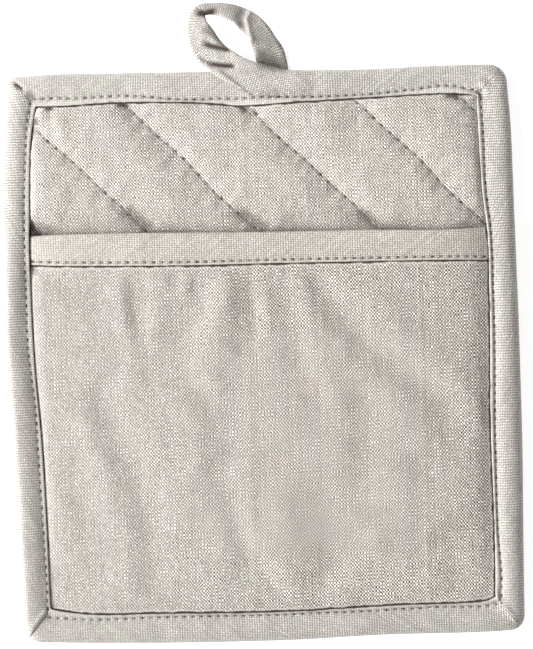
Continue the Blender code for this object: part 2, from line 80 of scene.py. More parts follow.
def curve(places: Sequence[float], values: Sequence[float], at: Array) -> Array:
    """Read a smooth curve that never runs past the values it goes through.

    Args:
        places: where the values stand, rising.
        values: one value at each place.
        at: the places to read.

    Returns:
        The curve's value at each place read.
    """
    places, values = np.asarray(places, float), np.asarray(values, float)
    at = np.clip(np.asarray(at, float), places[0], places[-1])
    steps = np.diff(values) / np.diff(places)
    slopes = np.zeros(len(values))
    slopes[1:-1] = np.where(steps[:-1] * steps[1:] > 0, (steps[:-1] + steps[1:]) / 2, 0.0)
    low = np.clip(np.searchsorted(places, at, side="right") - 1, 0, len(places) - 2)
    span = places[low + 1] - places[low]
    t = (at - places[low]) / span
    start = values[low] * (1 + 2 * t) + slopes[low] * span * t
    end = values[low + 1] * (3 - 2 * t) + slopes[low + 1] * span * (t - 1)
    return start * (1 - t) ** 2 + end * t * t


def ripple(x: Array, y: Array, pitch: float, seed: int) -> Array:
    """Soft random waves, about -1 to 1, of roughly one wavelength.

    Args:
        x, y: places in millimetres.
        pitch: the usual distance from crest to crest.
        seed: picks the waves.

    Returns:
        The waves' height at each place.
    """
    dice = np.random.default_rng(seed)
    total = np.zeros(np.broadcast(x, y).shape)
    for _ in range(WAVES):
        turn, phase, stretch = dice.uniform(0, math.tau, 2).tolist() + [dice.uniform(0.7, 1.5)]
        total += np.sin((x * math.cos(turn) + y * math.sin(turn)) * math.tau / pitch / stretch + phase)
    return total / math.sqrt(WAVES)


def walk(points: Array) -> Array:
    """Measure how far along a row of points each of them is."""
    return np.concatenate(((0.0,), np.cumsum(np.linalg.norm(np.diff(points, axis=0), axis=1))))


@dataclass(frozen=True)
class Crease:
    """A soft fold along a bent line, drawn from the photograph.

    `drop` lets the cloth fall from the line's left to its right and level out again, `rise` lifts a
    ridge along the line or, negative, sinks a trough, and a painted shade darkens its bottom.
    """

    points: tuple[tuple[float, float], ...]
    width: float
    drop: float = 0.0
    rise: float = 0.0
    painted_shade: float = 0.0
    fade: float = 6.0

    def reach(self, x: Array, y: Array) -> tuple[Array, Array]:
        """Measure from the line.

        Args:
            x, y: places in millimetres.

        Returns:
            The signed distance in widths, and a share that dies away at both ends.
        """
        best = np.full(x.shape, np.inf)
        side, along = np.zeros(x.shape), np.zeros(x.shape)
        walked = 0.0
        for (x0, y0), (x1, y1) in zip(self.points, self.points[1:]):
            run = math.hypot(x1 - x0, y1 - y0)
            ahead = ((x - x0) * (x1 - x0) + (y - y0) * (y1 - y0)) / run
            across = ((x - x0) * (y1 - y0) - (y - y0) * (x1 - x0)) / run
            held = np.clip(ahead, 0, run)
            away = np.hypot(across, ahead - held)
            nearer = away < best
            best = np.where(nearer, away, best)
            side = np.where(nearer, -np.sign(across) * away, side)
            along = np.where(nearer, walked + ahead, along)
            walked += run
        fade = min(self.fade, walked / 2)
        return side / self.width, ease(along / fade + 0.5) * ease((walked - along) / fade + 0.5)

    def lift(self, x: Array, y: Array) -> Array:
        """Height that the fold adds at each place."""
        away, share = self.reach(x, y)
        bell = np.exp(-away * away)
        return share * bell * (self.rise - self.drop * 2.33 * away)

    def painted_shade_at(self, x: Array, y: Array) -> Array:
        """Painted shade that the fold's bottom adds at each place."""
        away, share = self.reach(x, y)
        return self.painted_shade * share * np.exp(-(away / 0.75) ** 4)


def lift_all(creases: Sequence[Crease], x: Array, y: Array) -> Array:
    """Sum the heights of several folds."""
    return sum((crease.lift(x, y) for crease in creases), np.zeros(x.shape))


def painted_shade_all(creases: Sequence[Crease], x: Array, y: Array) -> Array:
    """Take the darkest painted shade of several folds."""
    total = np.zeros(x.shape)
    for crease in creases:
        total = np.maximum(total, crease.painted_shade_at(x, y))
    return total


class Axis(Enum):
    """The way a side runs."""

    ACROSS = 0
    ALONG = 1


@dataclass(frozen=True)
class Side:
    """One side of the body in plan, and the stitched line that holds its binding."""

    axis: Axis
    outward: int
    rows: tuple[tuple[float, float, float], ...]  # place along it, outermost line, seam
    stitched: tuple[tuple[float, float], ...]  # place along it, distance from the seam outwards

    def edge(self, at: Array) -> Array:
        """Distance of the outermost line from the middle."""
        return curve([row[0] for row in self.rows], [row[1] for row in self.rows], at)

    def seam(self, at: Array) -> Array:
        """Distance of the binding's inner fold from the middle."""
        return curve([row[0] for row in self.rows], [row[2] for row in self.rows], at)

    def inset(self, at: Array) -> Array:
        """Distance of the stitched line from the seam."""
        return curve([row[0] for row in self.stitched], [row[1] for row in self.stitched], at)

    def place(self, at: float, away: float) -> Vector:
        """A point in plan, so far along the side and so far out."""
        away *= self.outward
        return Vector((at, away)) if self.axis is Axis.ACROSS else Vector((away, at))


BOTTOM = Side(
    Axis.ACROSS, -1,
    ((-98.8, 112.4, 98.4), (-72, 113.3, 101.6), (-48, 114.0, 102.0), (0, 114.5, 102.8),
     (50, 113.4, 101.5), (80, 113.6, 101.2), (100.5, 113.0, 99.1)),
    ((-90, 3.0), (-80, 2.4), (-67, 1.9), (-57, 1.7), (-29, 1.2), (11, 1.1), (44, 1.7), (51, 1.5),
     (57, 1.6), (64, 1.1), (70, 1.2), (76, 1.5), (86, 2.1)),
)
RIGHT = Side(
    Axis.ALONG, 1,
    ((-112.3, 100.2, 88.1), (-80, 100.6, 88.9), (-32, 101.4, 88.6), (16, 101.3, 89.6),
     (47, 100.9, 89.4), (64, 100.8, 87.9), (88, 100.5, 87.2), (113.0, 99.3, 86.9)),
    ((-100, 2.5), (-93, 2.6), (-86, 2.2), (-79, 1.75), (-72, 1.4), (-13, 1.95), (6, 1.8),
     (36, 1.6), (45, 1.5), (58, 1.6), (70, 1.8), (80, 2.0), (97, 1.8)),
)
TOP = Side(
    Axis.ACROSS, 1,
    ((-99.2, 113.2, 101.2), (-80, 113.9, 100.9), (-56, 113.6, 101.6), (-20, 113.2, 100.4),
     (-6, 113.0, 98.9), (16, 112.6, 99.8), (44, 112.3, 100.7), (72, 112.9, 101.5),
     (99.6, 112.8, 100.1)),
    ((-87, 3.0), (-80, 3.2), (-74, 2.75), (-60, 2.65), (-50, 2.55), (-41, 1.85), (-31, 1.2),
     (-21, 1.45), (-15, 2.3), (-8, 2.9), (-2, 3.2), (12, 2.2), (17, 1.9), (33, 1.35), (46, 1.3),
     (55, 1.7), (65, 2.25), (71, 2.9), (79, 3.0), (84, 1.9)),
)
LEFT = Side(
    Axis.ALONG, -1,
    ((-111.7, 99.3, 88.3), (-96, 99.9, 88.5), (-64, 100.8, 89.0), (-32, 101.8, 90.0),
     (0, 103.2, 92.0), (32, 103.5, 92.6), (64, 103.2, 92.1), (86, 101.9, 91.0), (95, 101.2, 89.8),
     (100.5, 100.7, 88.8), (113.4, 99.7, 88.0)),
    ((-96, 1.0), (-90, 0.85), (-82, 1.0), (-71, 1.25), (-38, 1.6), (-16, 1.1), (-6, 1.45), (8, 2.0),
     (23, 1.8), (38, 1.75), (62, 2.0), (81, 1.7), (96, 2.05)),
)
SIDES = (BOTTOM, RIGHT, TOP, LEFT)


class Corner(NamedTuple):
    """Where two sides meet: the corner of the edge, that of the seam, and the rounding."""

    x: float
    y: float
    seam_x: float
    seam_y: float
    radius: float


CORNERS = (
    Corner(-99.3, -112.4, -88.3, -98.8, 7.0),
    Corner(100.2, -113.0, 88.6, -99.3, 6.0),
    Corner(99.3, 112.8, 87.2, 100.1, 7.5),
    Corner(-99.7, 113.2, -88.5, 101.0, 3.5),
)


def beside(x: Array, y: Array) -> tuple[Array, Array]:
    """Distances of each place from the left and the right seam."""
    return x + LEFT.seam(y), RIGHT.seam(y) - x


def inside(x: Array, y: Array) -> Array:
    """Distance of each place from the nearest seam, negative under the binding."""
    return np.minimum.reduce((*beside(x, y), y + BOTTOM.seam(x), TOP.seam(x) - y))


def line_gap(x: Array, y: Array) -> Array:
    """Distance from the painted shade line in the seams, larger where that line is faint; near it the cloth
    also gets a painted highlight.
    """
    bare = y > BARE_FROM
    left, right = beside(x, y)
    return np.minimum.reduce((left + np.where(bare, 0.15, 0.45), right + np.where(bare, 0.55, 0.0),
                              y + BOTTOM.seam(x), TOP.seam(x) - y))


@dataclass(frozen=True)
class MouthLine:
    """Where the tape along the pocket's mouth lies, across the body."""

    at: tuple[float, ...] = (-96, -80, -60, -30, 0, 45, 72, 96)
    lows: tuple[float, ...] = (38.0, 37.2, 36.6, 35.9, 35.8, 35.4, 35.1, 34.5)
    tops: tuple[float, ...] = (49.4, 49.7, 49.6, 49.0, 48.4, 47.9, 47.2, 48.0)
    slow: tuple[float, float] = (17.0, 9.0)  # how gently it rises from its left and right ends

    def low(self, x: Array) -> Array:
        """Its lower edge."""
        return curve(self.at, self.lows, x)

    def top(self, x: Array) -> Array:
        """Its folded upper edge."""
        return curve(self.at, self.tops, x)

    def end(self, x: Array) -> Array:
        """Go from 0 where the tape is tucked into a side seam to 1 where it lies over the pad."""
        left, right = (np.maximum(gap, 0.0) for gap in beside(x, self.low(x)))
        return (1 - np.exp(-left / self.slow[0])) * (1 - np.exp(-right / self.slow[1]))


MOUTH = MouthLine()


class Grain(Enum):
    """How a cloth is cut."""

    STRAIGHT = "straight"
    BIAS = "bias"


class Graph:
    """Adds shader nodes to a material and joins them."""

    def __init__(self, material: bpy.types.Material) -> None:
        """Take a material and clear it to one shader."""
        material.use_nodes = True
        self.nodes, self.links = material.node_tree.nodes, material.node_tree.links
        self.shader = self.nodes["Principled BSDF"]

    def add(self, kind: str, inputs: dict[str | int, object], **settings: object) -> bpy.types.Node:
        """Add a node.

        Args:
            kind: the node's type.
            inputs: a value or a socket for each input, by name or number.
            settings: the node's own options.

        Returns:
            The new node.
        """
        node = self.nodes.new(kind)
        for key, value in settings.items():
            setattr(node, key, value)
        for key, value in inputs.items():
            if isinstance(value, Socket):
                self.links.new(value, node.inputs[key])
            else:
                node.inputs[key].default_value = value
        return node

    def math(self, operation: str, *values: object) -> Socket:
        """Join a Math node and return its output."""
        return self.add("ShaderNodeMath", dict(enumerate(values)), operation=operation).outputs[0]

    def varied(self, value: Socket, amount: object, around: object) -> Socket:
        """Spread a value of 0 to 1 evenly round a number and return the result."""
        return self.math("MULTIPLY_ADD", self.math("SUBTRACT", value, 0.5), amount, around)

    def grey(self, red: Socket, green: Socket) -> Socket:
        """Make a near grey whose green may differ from its red and blue."""
        return self.add("ShaderNodeCombineColor", {0: red, 1: green, 2: red}).outputs[0]

    def tinted(self, colour: object, shade: Socket) -> Socket:
        """Multiply a colour by another and return the product."""
        inputs = {0: 1.0, 6: colour, 7: shade}
        return self.add("ShaderNodeMix", inputs, data_type="RGBA", blend_type="MULTIPLY").outputs[2]

    def attribute(self, name: str) -> Socket:
        """Read a number that the mesh stores under a name."""
        return self.add("ShaderNodeAttribute", {}, attribute_name=name).outputs["Fac"]

    def settle(self, values: dict[str, object]) -> None:
        """Set constants on the shader's own sockets."""
        for name, value in values.items():
            self.shader.inputs[name].default_value = value

    def blend(self, share: object, start: object, end: object) -> Socket:
        """Mix two colours and return the mixture."""
        inputs = {0: share, 6: start, 7: end}
        return self.add("ShaderNodeMix", inputs, data_type="RGBA").outputs[2]

    def level(self, value: Socket, low: float, high: float, to_low: float, to_high: float) -> Socket:
        """Map a range softly on to another one and return the result."""
        inputs = {"Value": value, "From Min": low, "From Max": high, "To Min": to_low,
                  "To Max": to_high}
        node = self.add("ShaderNodeMapRange", inputs, interpolation_type="SMOOTHSTEP")
        return node.outputs["Result"]

    def point(self, x: object, y: object) -> Socket:
        """Join two numbers to a place."""
        return self.add("ShaderNodeCombineXYZ", {"X": x, "Y": y}).outputs[0]

    def uv(self, name: str) -> tuple[Socket, Socket]:
        """Read both numbers of a named UV map."""
        read = self.add("ShaderNodeUVMap", {}, uv_map=name).outputs[0]
        parts = self.add("ShaderNodeSeparateXYZ", {0: read})
        return parts.outputs["X"], parts.outputs["Y"]

    def noise(self, place: Socket, scale: float, detail: float = 1.0) -> Socket:
        """Read soft noise, 0 to 1."""
        inputs = {"Vector": place, "Scale": scale, "Detail": detail}
        return self.add("ShaderNodeTexNoise", inputs, noise_dimensions="2D").outputs[0]

    def chance(self, number: Socket) -> Socket:
        """Read a random value, 0 to 1, for each whole number."""
        return self.add("ShaderNodeTexWhiteNoise", {"W": number}, noise_dimensions="1D").outputs[0]


@dataclass(frozen=True)
class Chambray:
    """Oatmeal chambray: pale yarns one way and darker flecked ones the other, in plain weave."""

    name: str
    grain: Grain = Grain.STRAIGHT
    pitch: tuple[float, float] = (0.605, 0.712)
    skew: float = -0.034  # how far the weft slants
    pale: tuple[float, float, float] = (0.858, 0.829, 0.762)
    dark: tuple[float, float, float] = (0.150, 0.109, 0.102)
    # colour of all painted shade: needle holes, thread grooves, seam lines and fold bottoms
    shade_tint: tuple[float, float, float] = (0.035, 0.016, 0.013)
    yarn_change: float = 0.22
    hue_change: float = 0.10
    slub: float = 0.5
    gap_shade: float = 0.62
    relief: float = 0.00016
    stitch: float = EDGE_STITCH
    hole: tuple[float, float] = (0.18, 0.72)
    crossing: float = 0.34  # how much one crossing of the yarns differs from the next
    evened_left: float = 0.0  # how far the yarns have lost their contrast at the left
    drift: float = 0.85  # how far the yarns' contrast is evened out towards the left
    wobble: float = 1.1  # how far each yarn wanders by itself
    twill: float = 0.12  # how much one diagonal shows more than the other
    second: float = 0.14  # how much paler every second warp yarn is
    thread_line: float = 0.30  # painted shade in the groove that the thread pulls
    line_pitch: float = 0.0  # distance between stitched lines, where there are several

    def build(self) -> bpy.types.Material:
        """Make the material.

        Returns:
            A material that reads the UV maps "Weave" and "Seam", an attribute of painted shade, and the
            attribute "gap", the distance to a painted shade line with a painted highlight beside it.
        """
        material = bpy.data.materials.new(self.name)
        graph = Graph(material)
        colour, relief = self.weave(graph)
        holes, pucker = self.needlework(graph)
        # Painted shade stored on the mesh: in folds, mitres and hollows, and over whole sides.
        painted_shade = graph.attribute("painted_shade")
        uneven = graph.noise(graph.point(*graph.uv("Weave")), 0.24, 2.0)
        gap = graph.varied(uneven, 1.3, graph.attribute("gap"))
        # Painted highlight: near the seam lines and on the outer folds the cloth is blended towards the
        # pale yarn.
        edge_highlight = graph.level(gap, 0.8, 1.9, 0.35, 0.0)
        colour = graph.blend(edge_highlight, colour, (*self.pale, 1.0))
        # Painted shade: the dark line in the seams, then all painted shade mixed in with the shade tint.
        painted_shade = graph.math("MAXIMUM", painted_shade, graph.level(gap, 0.3, 1.0, 0.95, 0.0))
        covered = graph.math("MAXIMUM", holes, painted_shade)
        colour = graph.blend(covered, colour, (*self.shade_tint, 1.0))
        relief = graph.math("ADD", relief, pucker)
        bump = graph.add("ShaderNodeBump", {"Strength": 1.0, "Distance": self.relief, "Height": relief})
        graph.links.new(colour, graph.shader.inputs["Base Color"])
        graph.links.new(bump.outputs[0], graph.shader.inputs["Normal"])
        graph.settle({"Roughness": 0.92, "Specular IOR Level": 0.2, "Sheen Weight": 0.12,
                      "Sheen Roughness": 0.6})
        return material

    def counted(self, graph: Graph) -> tuple[Socket, Socket, Socket, Socket]:
        """Count the yarns both ways.

        Args:
            graph: the material's nodes.

        Returns:
            The yarn counts both ways, and the plain places u and v in millimetres.
        """
        u, v = graph.uv("Weave")
        place = graph.point(u, v)
        slant = graph.math("MULTIPLY_ADD", u, self.skew, v)
        first, second = (graph.math("DIVIDE", plain, pitch) for plain, pitch in zip((u, slant), self.pitch))
        if self.grain is Grain.BIAS:
            first, second = graph.math("ADD", first, second), graph.math("SUBTRACT", first, second)
        counts = []
        for index, plain in enumerate((first, second)):
            drift = graph.noise(place, 0.13 + 0.03 * index, 2.0)
            counts.append(graph.varied(drift, self.drift, plain))
        wandered = []
        for index, (own, other) in enumerate((counts, counts[::-1])):
            line = graph.point(graph.math("MULTIPLY_ADD", own, 0.8, 40.0 * index),
                               graph.math("MULTIPLY", other, 0.14))
            wandered.append(graph.varied(graph.noise(line, 1.0), self.wobble, own))
        return wandered[0], wandered[1], u, v

    def tone(self, graph: Graph, count: Socket, other: Socket, seed: float) -> Socket:
        """Lightness of one set of yarns: each its own, and thick and thin along its length.

        Args:
            graph: the material's nodes.
            count: the yarn count across these yarns.
            other: the count along them.
            seed: sets them apart from the other yarns.

        Returns:
            A factor round 1.
        """
        own = graph.chance(graph.math("ADD", graph.math("FLOOR", count), seed))
        line = graph.point(graph.math("MULTIPLY_ADD", count, 0.9, seed),
                           graph.math("MULTIPLY", other, 0.16))
        own = graph.varied(own, self.yarn_change, 1.0)
        return graph.varied(graph.noise(line, 1.0, 2.0), self.slub, own)

    def weave(self, graph: Graph) -> tuple[Socket, Socket]:
        """Lay the plain weave.

        Args:
            graph: the material's nodes.

        Returns:
            The cloth's colour and its relief, 0 in the gaps to 1 on the yarns.
        """
        warp, weft, u, v = self.counted(graph)
        parity = graph.math("ADD", graph.math("FLOOR", warp), graph.math("FLOOR", weft))
        over = graph.math("PINGPONG", parity, 1.0)
        rounds = [
            graph.math("SINE", graph.math("MULTIPLY", graph.math("FRACT", count), math.pi))
            for count in (warp, weft)
        ]
        heights = [
            graph.math("MULTIPLY", graph.math("POWER", one, 0.7), graph.math("MULTIPLY_ADD", two, 0.5, 0.5))
            for one, two in (rounds, rounds[::-1])
        ]
        gain = graph.math("SUBTRACT", heights[0], heights[1])
        relief = graph.math("MULTIPLY_ADD", gain, over, heights[1])
        shades = []
        for colour, tone in (
            (self.dark, self.tone(graph, weft, warp, 31.0)),
            (self.pale, self.tone(graph, warp, weft, 7.0)),
        ):
            hue = graph.chance(graph.math("FLOOR", graph.math("ADD", warp, 90.0)))
            hue = graph.varied(hue, self.hue_change, 1.0)
            shades.append(graph.tinted((*colour, 1.0), graph.grey(tone, graph.math("MULTIPLY", tone, hue))))
        cloth = graph.blend(over, *shades)
        middle = tuple(0.52 * light + 0.48 * deep for light, deep in zip(self.pale, self.dark))
        cloth = graph.blend(graph.level(u, -95.0, 25.0, self.evened_left, 0.0), cloth, (*middle, 1.0))
        depth = graph.math("MULTIPLY_ADD", relief, 1.0 - self.gap_shade, self.gap_shade)
        knot = graph.point(graph.math("FLOOR", warp), graph.math("FLOOR", weft))
        own = graph.add("ShaderNodeTexWhiteNoise", {"Vector": knot}, noise_dimensions="2D").outputs["Value"]
        depth = graph.math("MULTIPLY", depth, graph.varied(own, self.crossing, 1.0))
        slanting = graph.math("COSINE", graph.math("MULTIPLY", graph.math("ADD", warp, weft), math.pi))
        depth = graph.math("MULTIPLY", depth, graph.math("MULTIPLY_ADD", slanting, self.twill, 1.0))
        every = graph.math("PINGPONG", graph.math("FLOOR", warp), 1.0)
        depth = graph.math("MULTIPLY", depth, graph.varied(every, self.second, 1.0))
        depth = graph.varied(graph.noise(graph.point(u, v), 0.06, 3.0), 0.14, depth)
        return graph.tinted(cloth, graph.grey(depth, depth)), relief

    def needlework(self, graph: Graph) -> tuple[Socket, Socket]:
        """Paint shade into the needle holes and along the thread's groove, and mark the cloth that the
        thread gathers.

        Args:
            graph: the material's nodes.

        Returns:
            The painted shade of the holes and of the thread's groove, and the relief of the puckers beside
            them.
        """
        count, away = graph.uv("Seam")
        if self.line_pitch:
            away = graph.math("MULTIPLY", graph.math("WRAP", away, 0.5, -0.5), self.line_pitch)
        along = graph.math("SUBTRACT", graph.math("FRACT", count), 0.5)
        along = graph.math("MULTIPLY", along, self.stitch * 0.6)
        apart = graph.math("SQRT", graph.math("ADD", graph.math("MULTIPLY", along, along),
                                              graph.math("MULTIPLY", away, away)))
        each = graph.chance(graph.math("FLOOR", count))
        darkness = graph.math("MULTIPLY_ADD", each, 0.35, 0.65)
        holes = graph.math("MULTIPLY", graph.level(apart, *self.hole, 1.0, 0.0), darkness)
        aside = graph.math("ABSOLUTE", away)
        line = graph.level(aside, 0.1, 0.75, self.thread_line, 0.0)
        wave = graph.math("COSINE", graph.math("MULTIPLY", count, math.tau))
        near = graph.level(aside, 0.0, 2.2, 1.0, 0.0)
        pucker = graph.math("MULTIPLY", graph.math("MULTIPLY", wave, near), 0.9)
        groove = graph.level(aside, 0.0, 1.0, -1.2, 0.0)
        return graph.math("MAXIMUM", holes, line), graph.math("ADD", pucker, groove)


@dataclass(frozen=True)
class ChambrayTape(Chambray):
    """The same cloth cut on the bias and pressed, with its weave drawn out along the tape."""

    grain: Grain = Grain.BIAS
    pitch: tuple[float, float] = (0.98, 0.76)
    skew: float = 0.0
    twill: float = 0.0
    second: float = 0.0
    wobble: float = 0.8
    evened_left: float = 0.3
    pale: tuple[float, float, float] = (0.755, 0.737, 0.680)
    dark: tuple[float, float, float] = (0.300, 0.262, 0.246)
    crossing: float = 0.26
    gap_shade: float = 0.74
    relief: float = 0.00011


@dataclass(frozen=True)
class SewingThread:
    """Twisted cotton thread, a shade paler than the cloth."""

    name: str = "sewing_thread"
    pale: tuple[float, float, float] = (0.74, 0.70, 0.62)
    dark: tuple[float, float, float] = (0.50, 0.46, 0.40)

    def build(self) -> bpy.types.Material:
        """Make the material, with a fine fuzz read from object coordinates."""
        material = bpy.data.materials.new(self.name)
        graph = Graph(material)
        place = graph.add("ShaderNodeTexCoord", {}).outputs["Object"]
        inputs = {"Vector": place, "Scale": 5000.0, "Detail": 2.0}
        fuzz = graph.add("ShaderNodeTexNoise", inputs).outputs[0]
        colour = graph.blend(fuzz, (*self.dark, 1.0), (*self.pale, 1.0))
        bump = graph.add("ShaderNodeBump", {"Strength": 0.5, "Distance": 0.0001, "Height": fuzz})
        graph.links.new(colour, graph.shader.inputs["Base Color"])
        graph.links.new(bump.outputs[0], graph.shader.inputs["Normal"])
        graph.settle({"Roughness": 0.8})
        return material


class Workroom:
    """Turns finished meshes into pieces of the model."""

    @staticmethod
    def hang(mesh: bmesh.types.BMesh, name: str, material: bpy.types.Material) -> bpy.types.Object:
        """Make a named object of a mesh, in metres and about the frame's origin.

        Args:
            mesh: the piece in millimetres, which is freed.
            name: the piece's name.
            material: its finish.

        Returns:
            The object, linked to the scene.
        """
        bmesh.ops.translate(mesh, verts=mesh.verts, vec=(-FULL_MIDDLE[0], -FULL_MIDDLE[1], 0.0))
        bmesh.ops.scale(mesh, verts=mesh.verts, vec=(MM, MM, MM))
        data = bpy.data.meshes.new(name)
        mesh.to_mesh(data)
        mesh.free()
        data.shade_smooth()
        data.materials.append(material)
        piece = bpy.data.objects.new(name, data)
        bpy.context.scene.collection.objects.link(piece)
        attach(piece, "root")
        return piece

    @staticmethod
    def smooth(piece: bpy.types.Object) -> None:
        """Give a piece one live level of subdivision surface."""
        modifier = piece.modifiers.new("smooth", "SUBSURF")
        modifier.levels = modifier.render_levels = 1

    @staticmethod
    def move(mesh: bmesh.types.BMesh, places: Array) -> None:
        """Move every vertex of a mesh to its own place."""
        for vert, place in zip(mesh.verts, places.tolist()):
            vert.co = place

    @staticmethod
    def places(mesh: bmesh.types.BMesh) -> Array:
        """Read where every vertex of a mesh lies."""
        return np.array([vert.co[:] for vert in mesh.verts], float)

    @staticmethod
    def numbers(mesh: bmesh.types.BMesh, name: str) -> Array:
        """Read the whole number that `loft` stored for every vertex under a name."""
        layer = mesh.verts.layers.int[name]
        return np.array([vert[layer] for vert in mesh.verts])

    @staticmethod
    def mark(mesh: bmesh.types.BMesh, name: str, values: Array) -> None:
        """Store a number for every vertex under a name."""
        layer = mesh.verts.layers.float.new(name)
        for vert, value in zip(mesh.verts, values.tolist()):
            vert[layer] = value

    @staticmethod
    def lay_uv(mesh: bmesh.types.BMesh, name: str, values: Array) -> None:
        """Store a UV map that is the same on every face round a vertex."""
        layer = mesh.loops.layers.uv.new(name)
        mesh.verts.index_update()
        pairs = values.tolist()
        for face in mesh.faces:
            for corner in face.loops:
                corner[layer].uv = pairs[corner.vert.index]

    @staticmethod
    def loft(mesh: bmesh.types.BMesh, rings: Sequence[Array], closed: bool) -> None:
        """Extrude a ring of edges through cross-sections.

        Args:
            mesh: takes the new faces.
            rings: each cross-section's points.
            closed: joins the last ring to the first; otherwise both ends are capped.
        """
        order = mesh.verts.layers.int.new("section"), mesh.verts.layers.int.new("point")
        verts = [mesh.verts.new(point) for point in rings[0].tolist()]
        for index, vert in enumerate(verts):
            vert[order[1]] = index
        first = [mesh.edges.new((vert, verts[index - 1])) for index, vert in enumerate(verts)]
        edges = first
        for number, ring in enumerate(rings[1:], 1):
            grown = bmesh.ops.extrude_edge_only(mesh, edges=edges)["geom"]
            fresh = {item for item in grown if isinstance(item, bmesh.types.BMVert)}
            edges = [e for e in grown if isinstance(e, bmesh.types.BMEdge) and set(e.verts) <= fresh]
            verts = [
                next(e.other_vert(v) for e in v.link_edges if e.other_vert(v) in fresh)
                for v in verts
            ]
            for index, (vert, point) in enumerate(zip(verts, ring.tolist())):
                vert.co = point
                vert[order[0]], vert[order[1]] = number, index
        if closed:
            bmesh.ops.bridge_loops(mesh, edges=first + edges)
        else:
            bmesh.ops.contextual_create(mesh, geom=first)
            bmesh.ops.contextual_create(mesh, geom=edges)
        bmesh.ops.recalc_face_normals(mesh, faces=mesh.faces)

    @staticmethod
    def sheet(columns: int, rows: int) -> tuple[bmesh.types.BMesh, Array, Array, Array]:
        """Make two grids of faces joined round their rims.

        Args:
            columns, rows: how many faces the grid has each way.

        Returns:
            The mesh, each vertex's share across and along, and whether it is on the upper grid.
        """
        mesh = bmesh.new()
        bmesh.ops.create_grid(mesh, x_segments=columns, y_segments=rows, size=1.0)
        grown = bmesh.ops.extrude_face_region(mesh, geom=mesh.faces, use_keep_orig=True)["geom"]
        upper = [item for item in grown if isinstance(item, bmesh.types.BMVert)]
        bmesh.ops.translate(mesh, verts=upper, vec=(0, 0, 1))
        bmesh.ops.recalc_face_normals(mesh, faces=mesh.faces)
        at = Workroom.places(mesh)
        return mesh, (at[:, 0] + 1) / 2, (at[:, 1] + 1) / 2, at[:, 2] > 0.5


class Piece(ABC):
    """A sewn piece that replaces one of the frame's plain solids."""

    @abstractmethod
    def build(self) -> bpy.types.Object:
        """Model the piece, dress it and hide the plain solid that it replaces."""


@dataclass
class Quilting:
    """The slanting stitched lines of the pad."""

    places: tuple[float, ...] = (-153.0, -121.8, -90.6, -59.4, -28.2, 2.8, 33.5, 66.9, 97.8, 126.9, 158.2)
    pitch: float = 31.2
    stitch: float = 4.4
    wander: float = 0.45

    def count(self, x: Array, y: Array) -> tuple[Array, Array]:
        """Count lines and stitches.

        Args:
            x, y: places in millimetres.

        Returns:
            Which line a place is on, in parts of the way to the next, and how far along it is.
        """
        along = (x - y) / math.sqrt(2)
        across = (x + y) / math.sqrt(2) + self.waver(along)
        return np.interp(across, self.places, np.arange(len(self.places))), along

    def waver(self, along: Array) -> Array:
        """How far a line strays from straight at a distance along it."""
        return self.wander * np.sin(along / 11.0) + 0.3 * np.sin(along / 5.3)

    def held(self, x: Array, y: Array, least: float) -> Array:
        """Go from 1 at each line to a least value on the way to the next one."""
        line, _ = self.count(x, y)
        return mix(1.0, least, ease((line - np.floor(line)) / 0.8))

    def apart(self, x: Array, y: Array) -> tuple[Array, Array]:
        """Signed distance from the nearest line, and the number of that line."""
        line, _ = self.count(x, y)
        return (line - np.round(line)) * self.pitch, np.round(line)


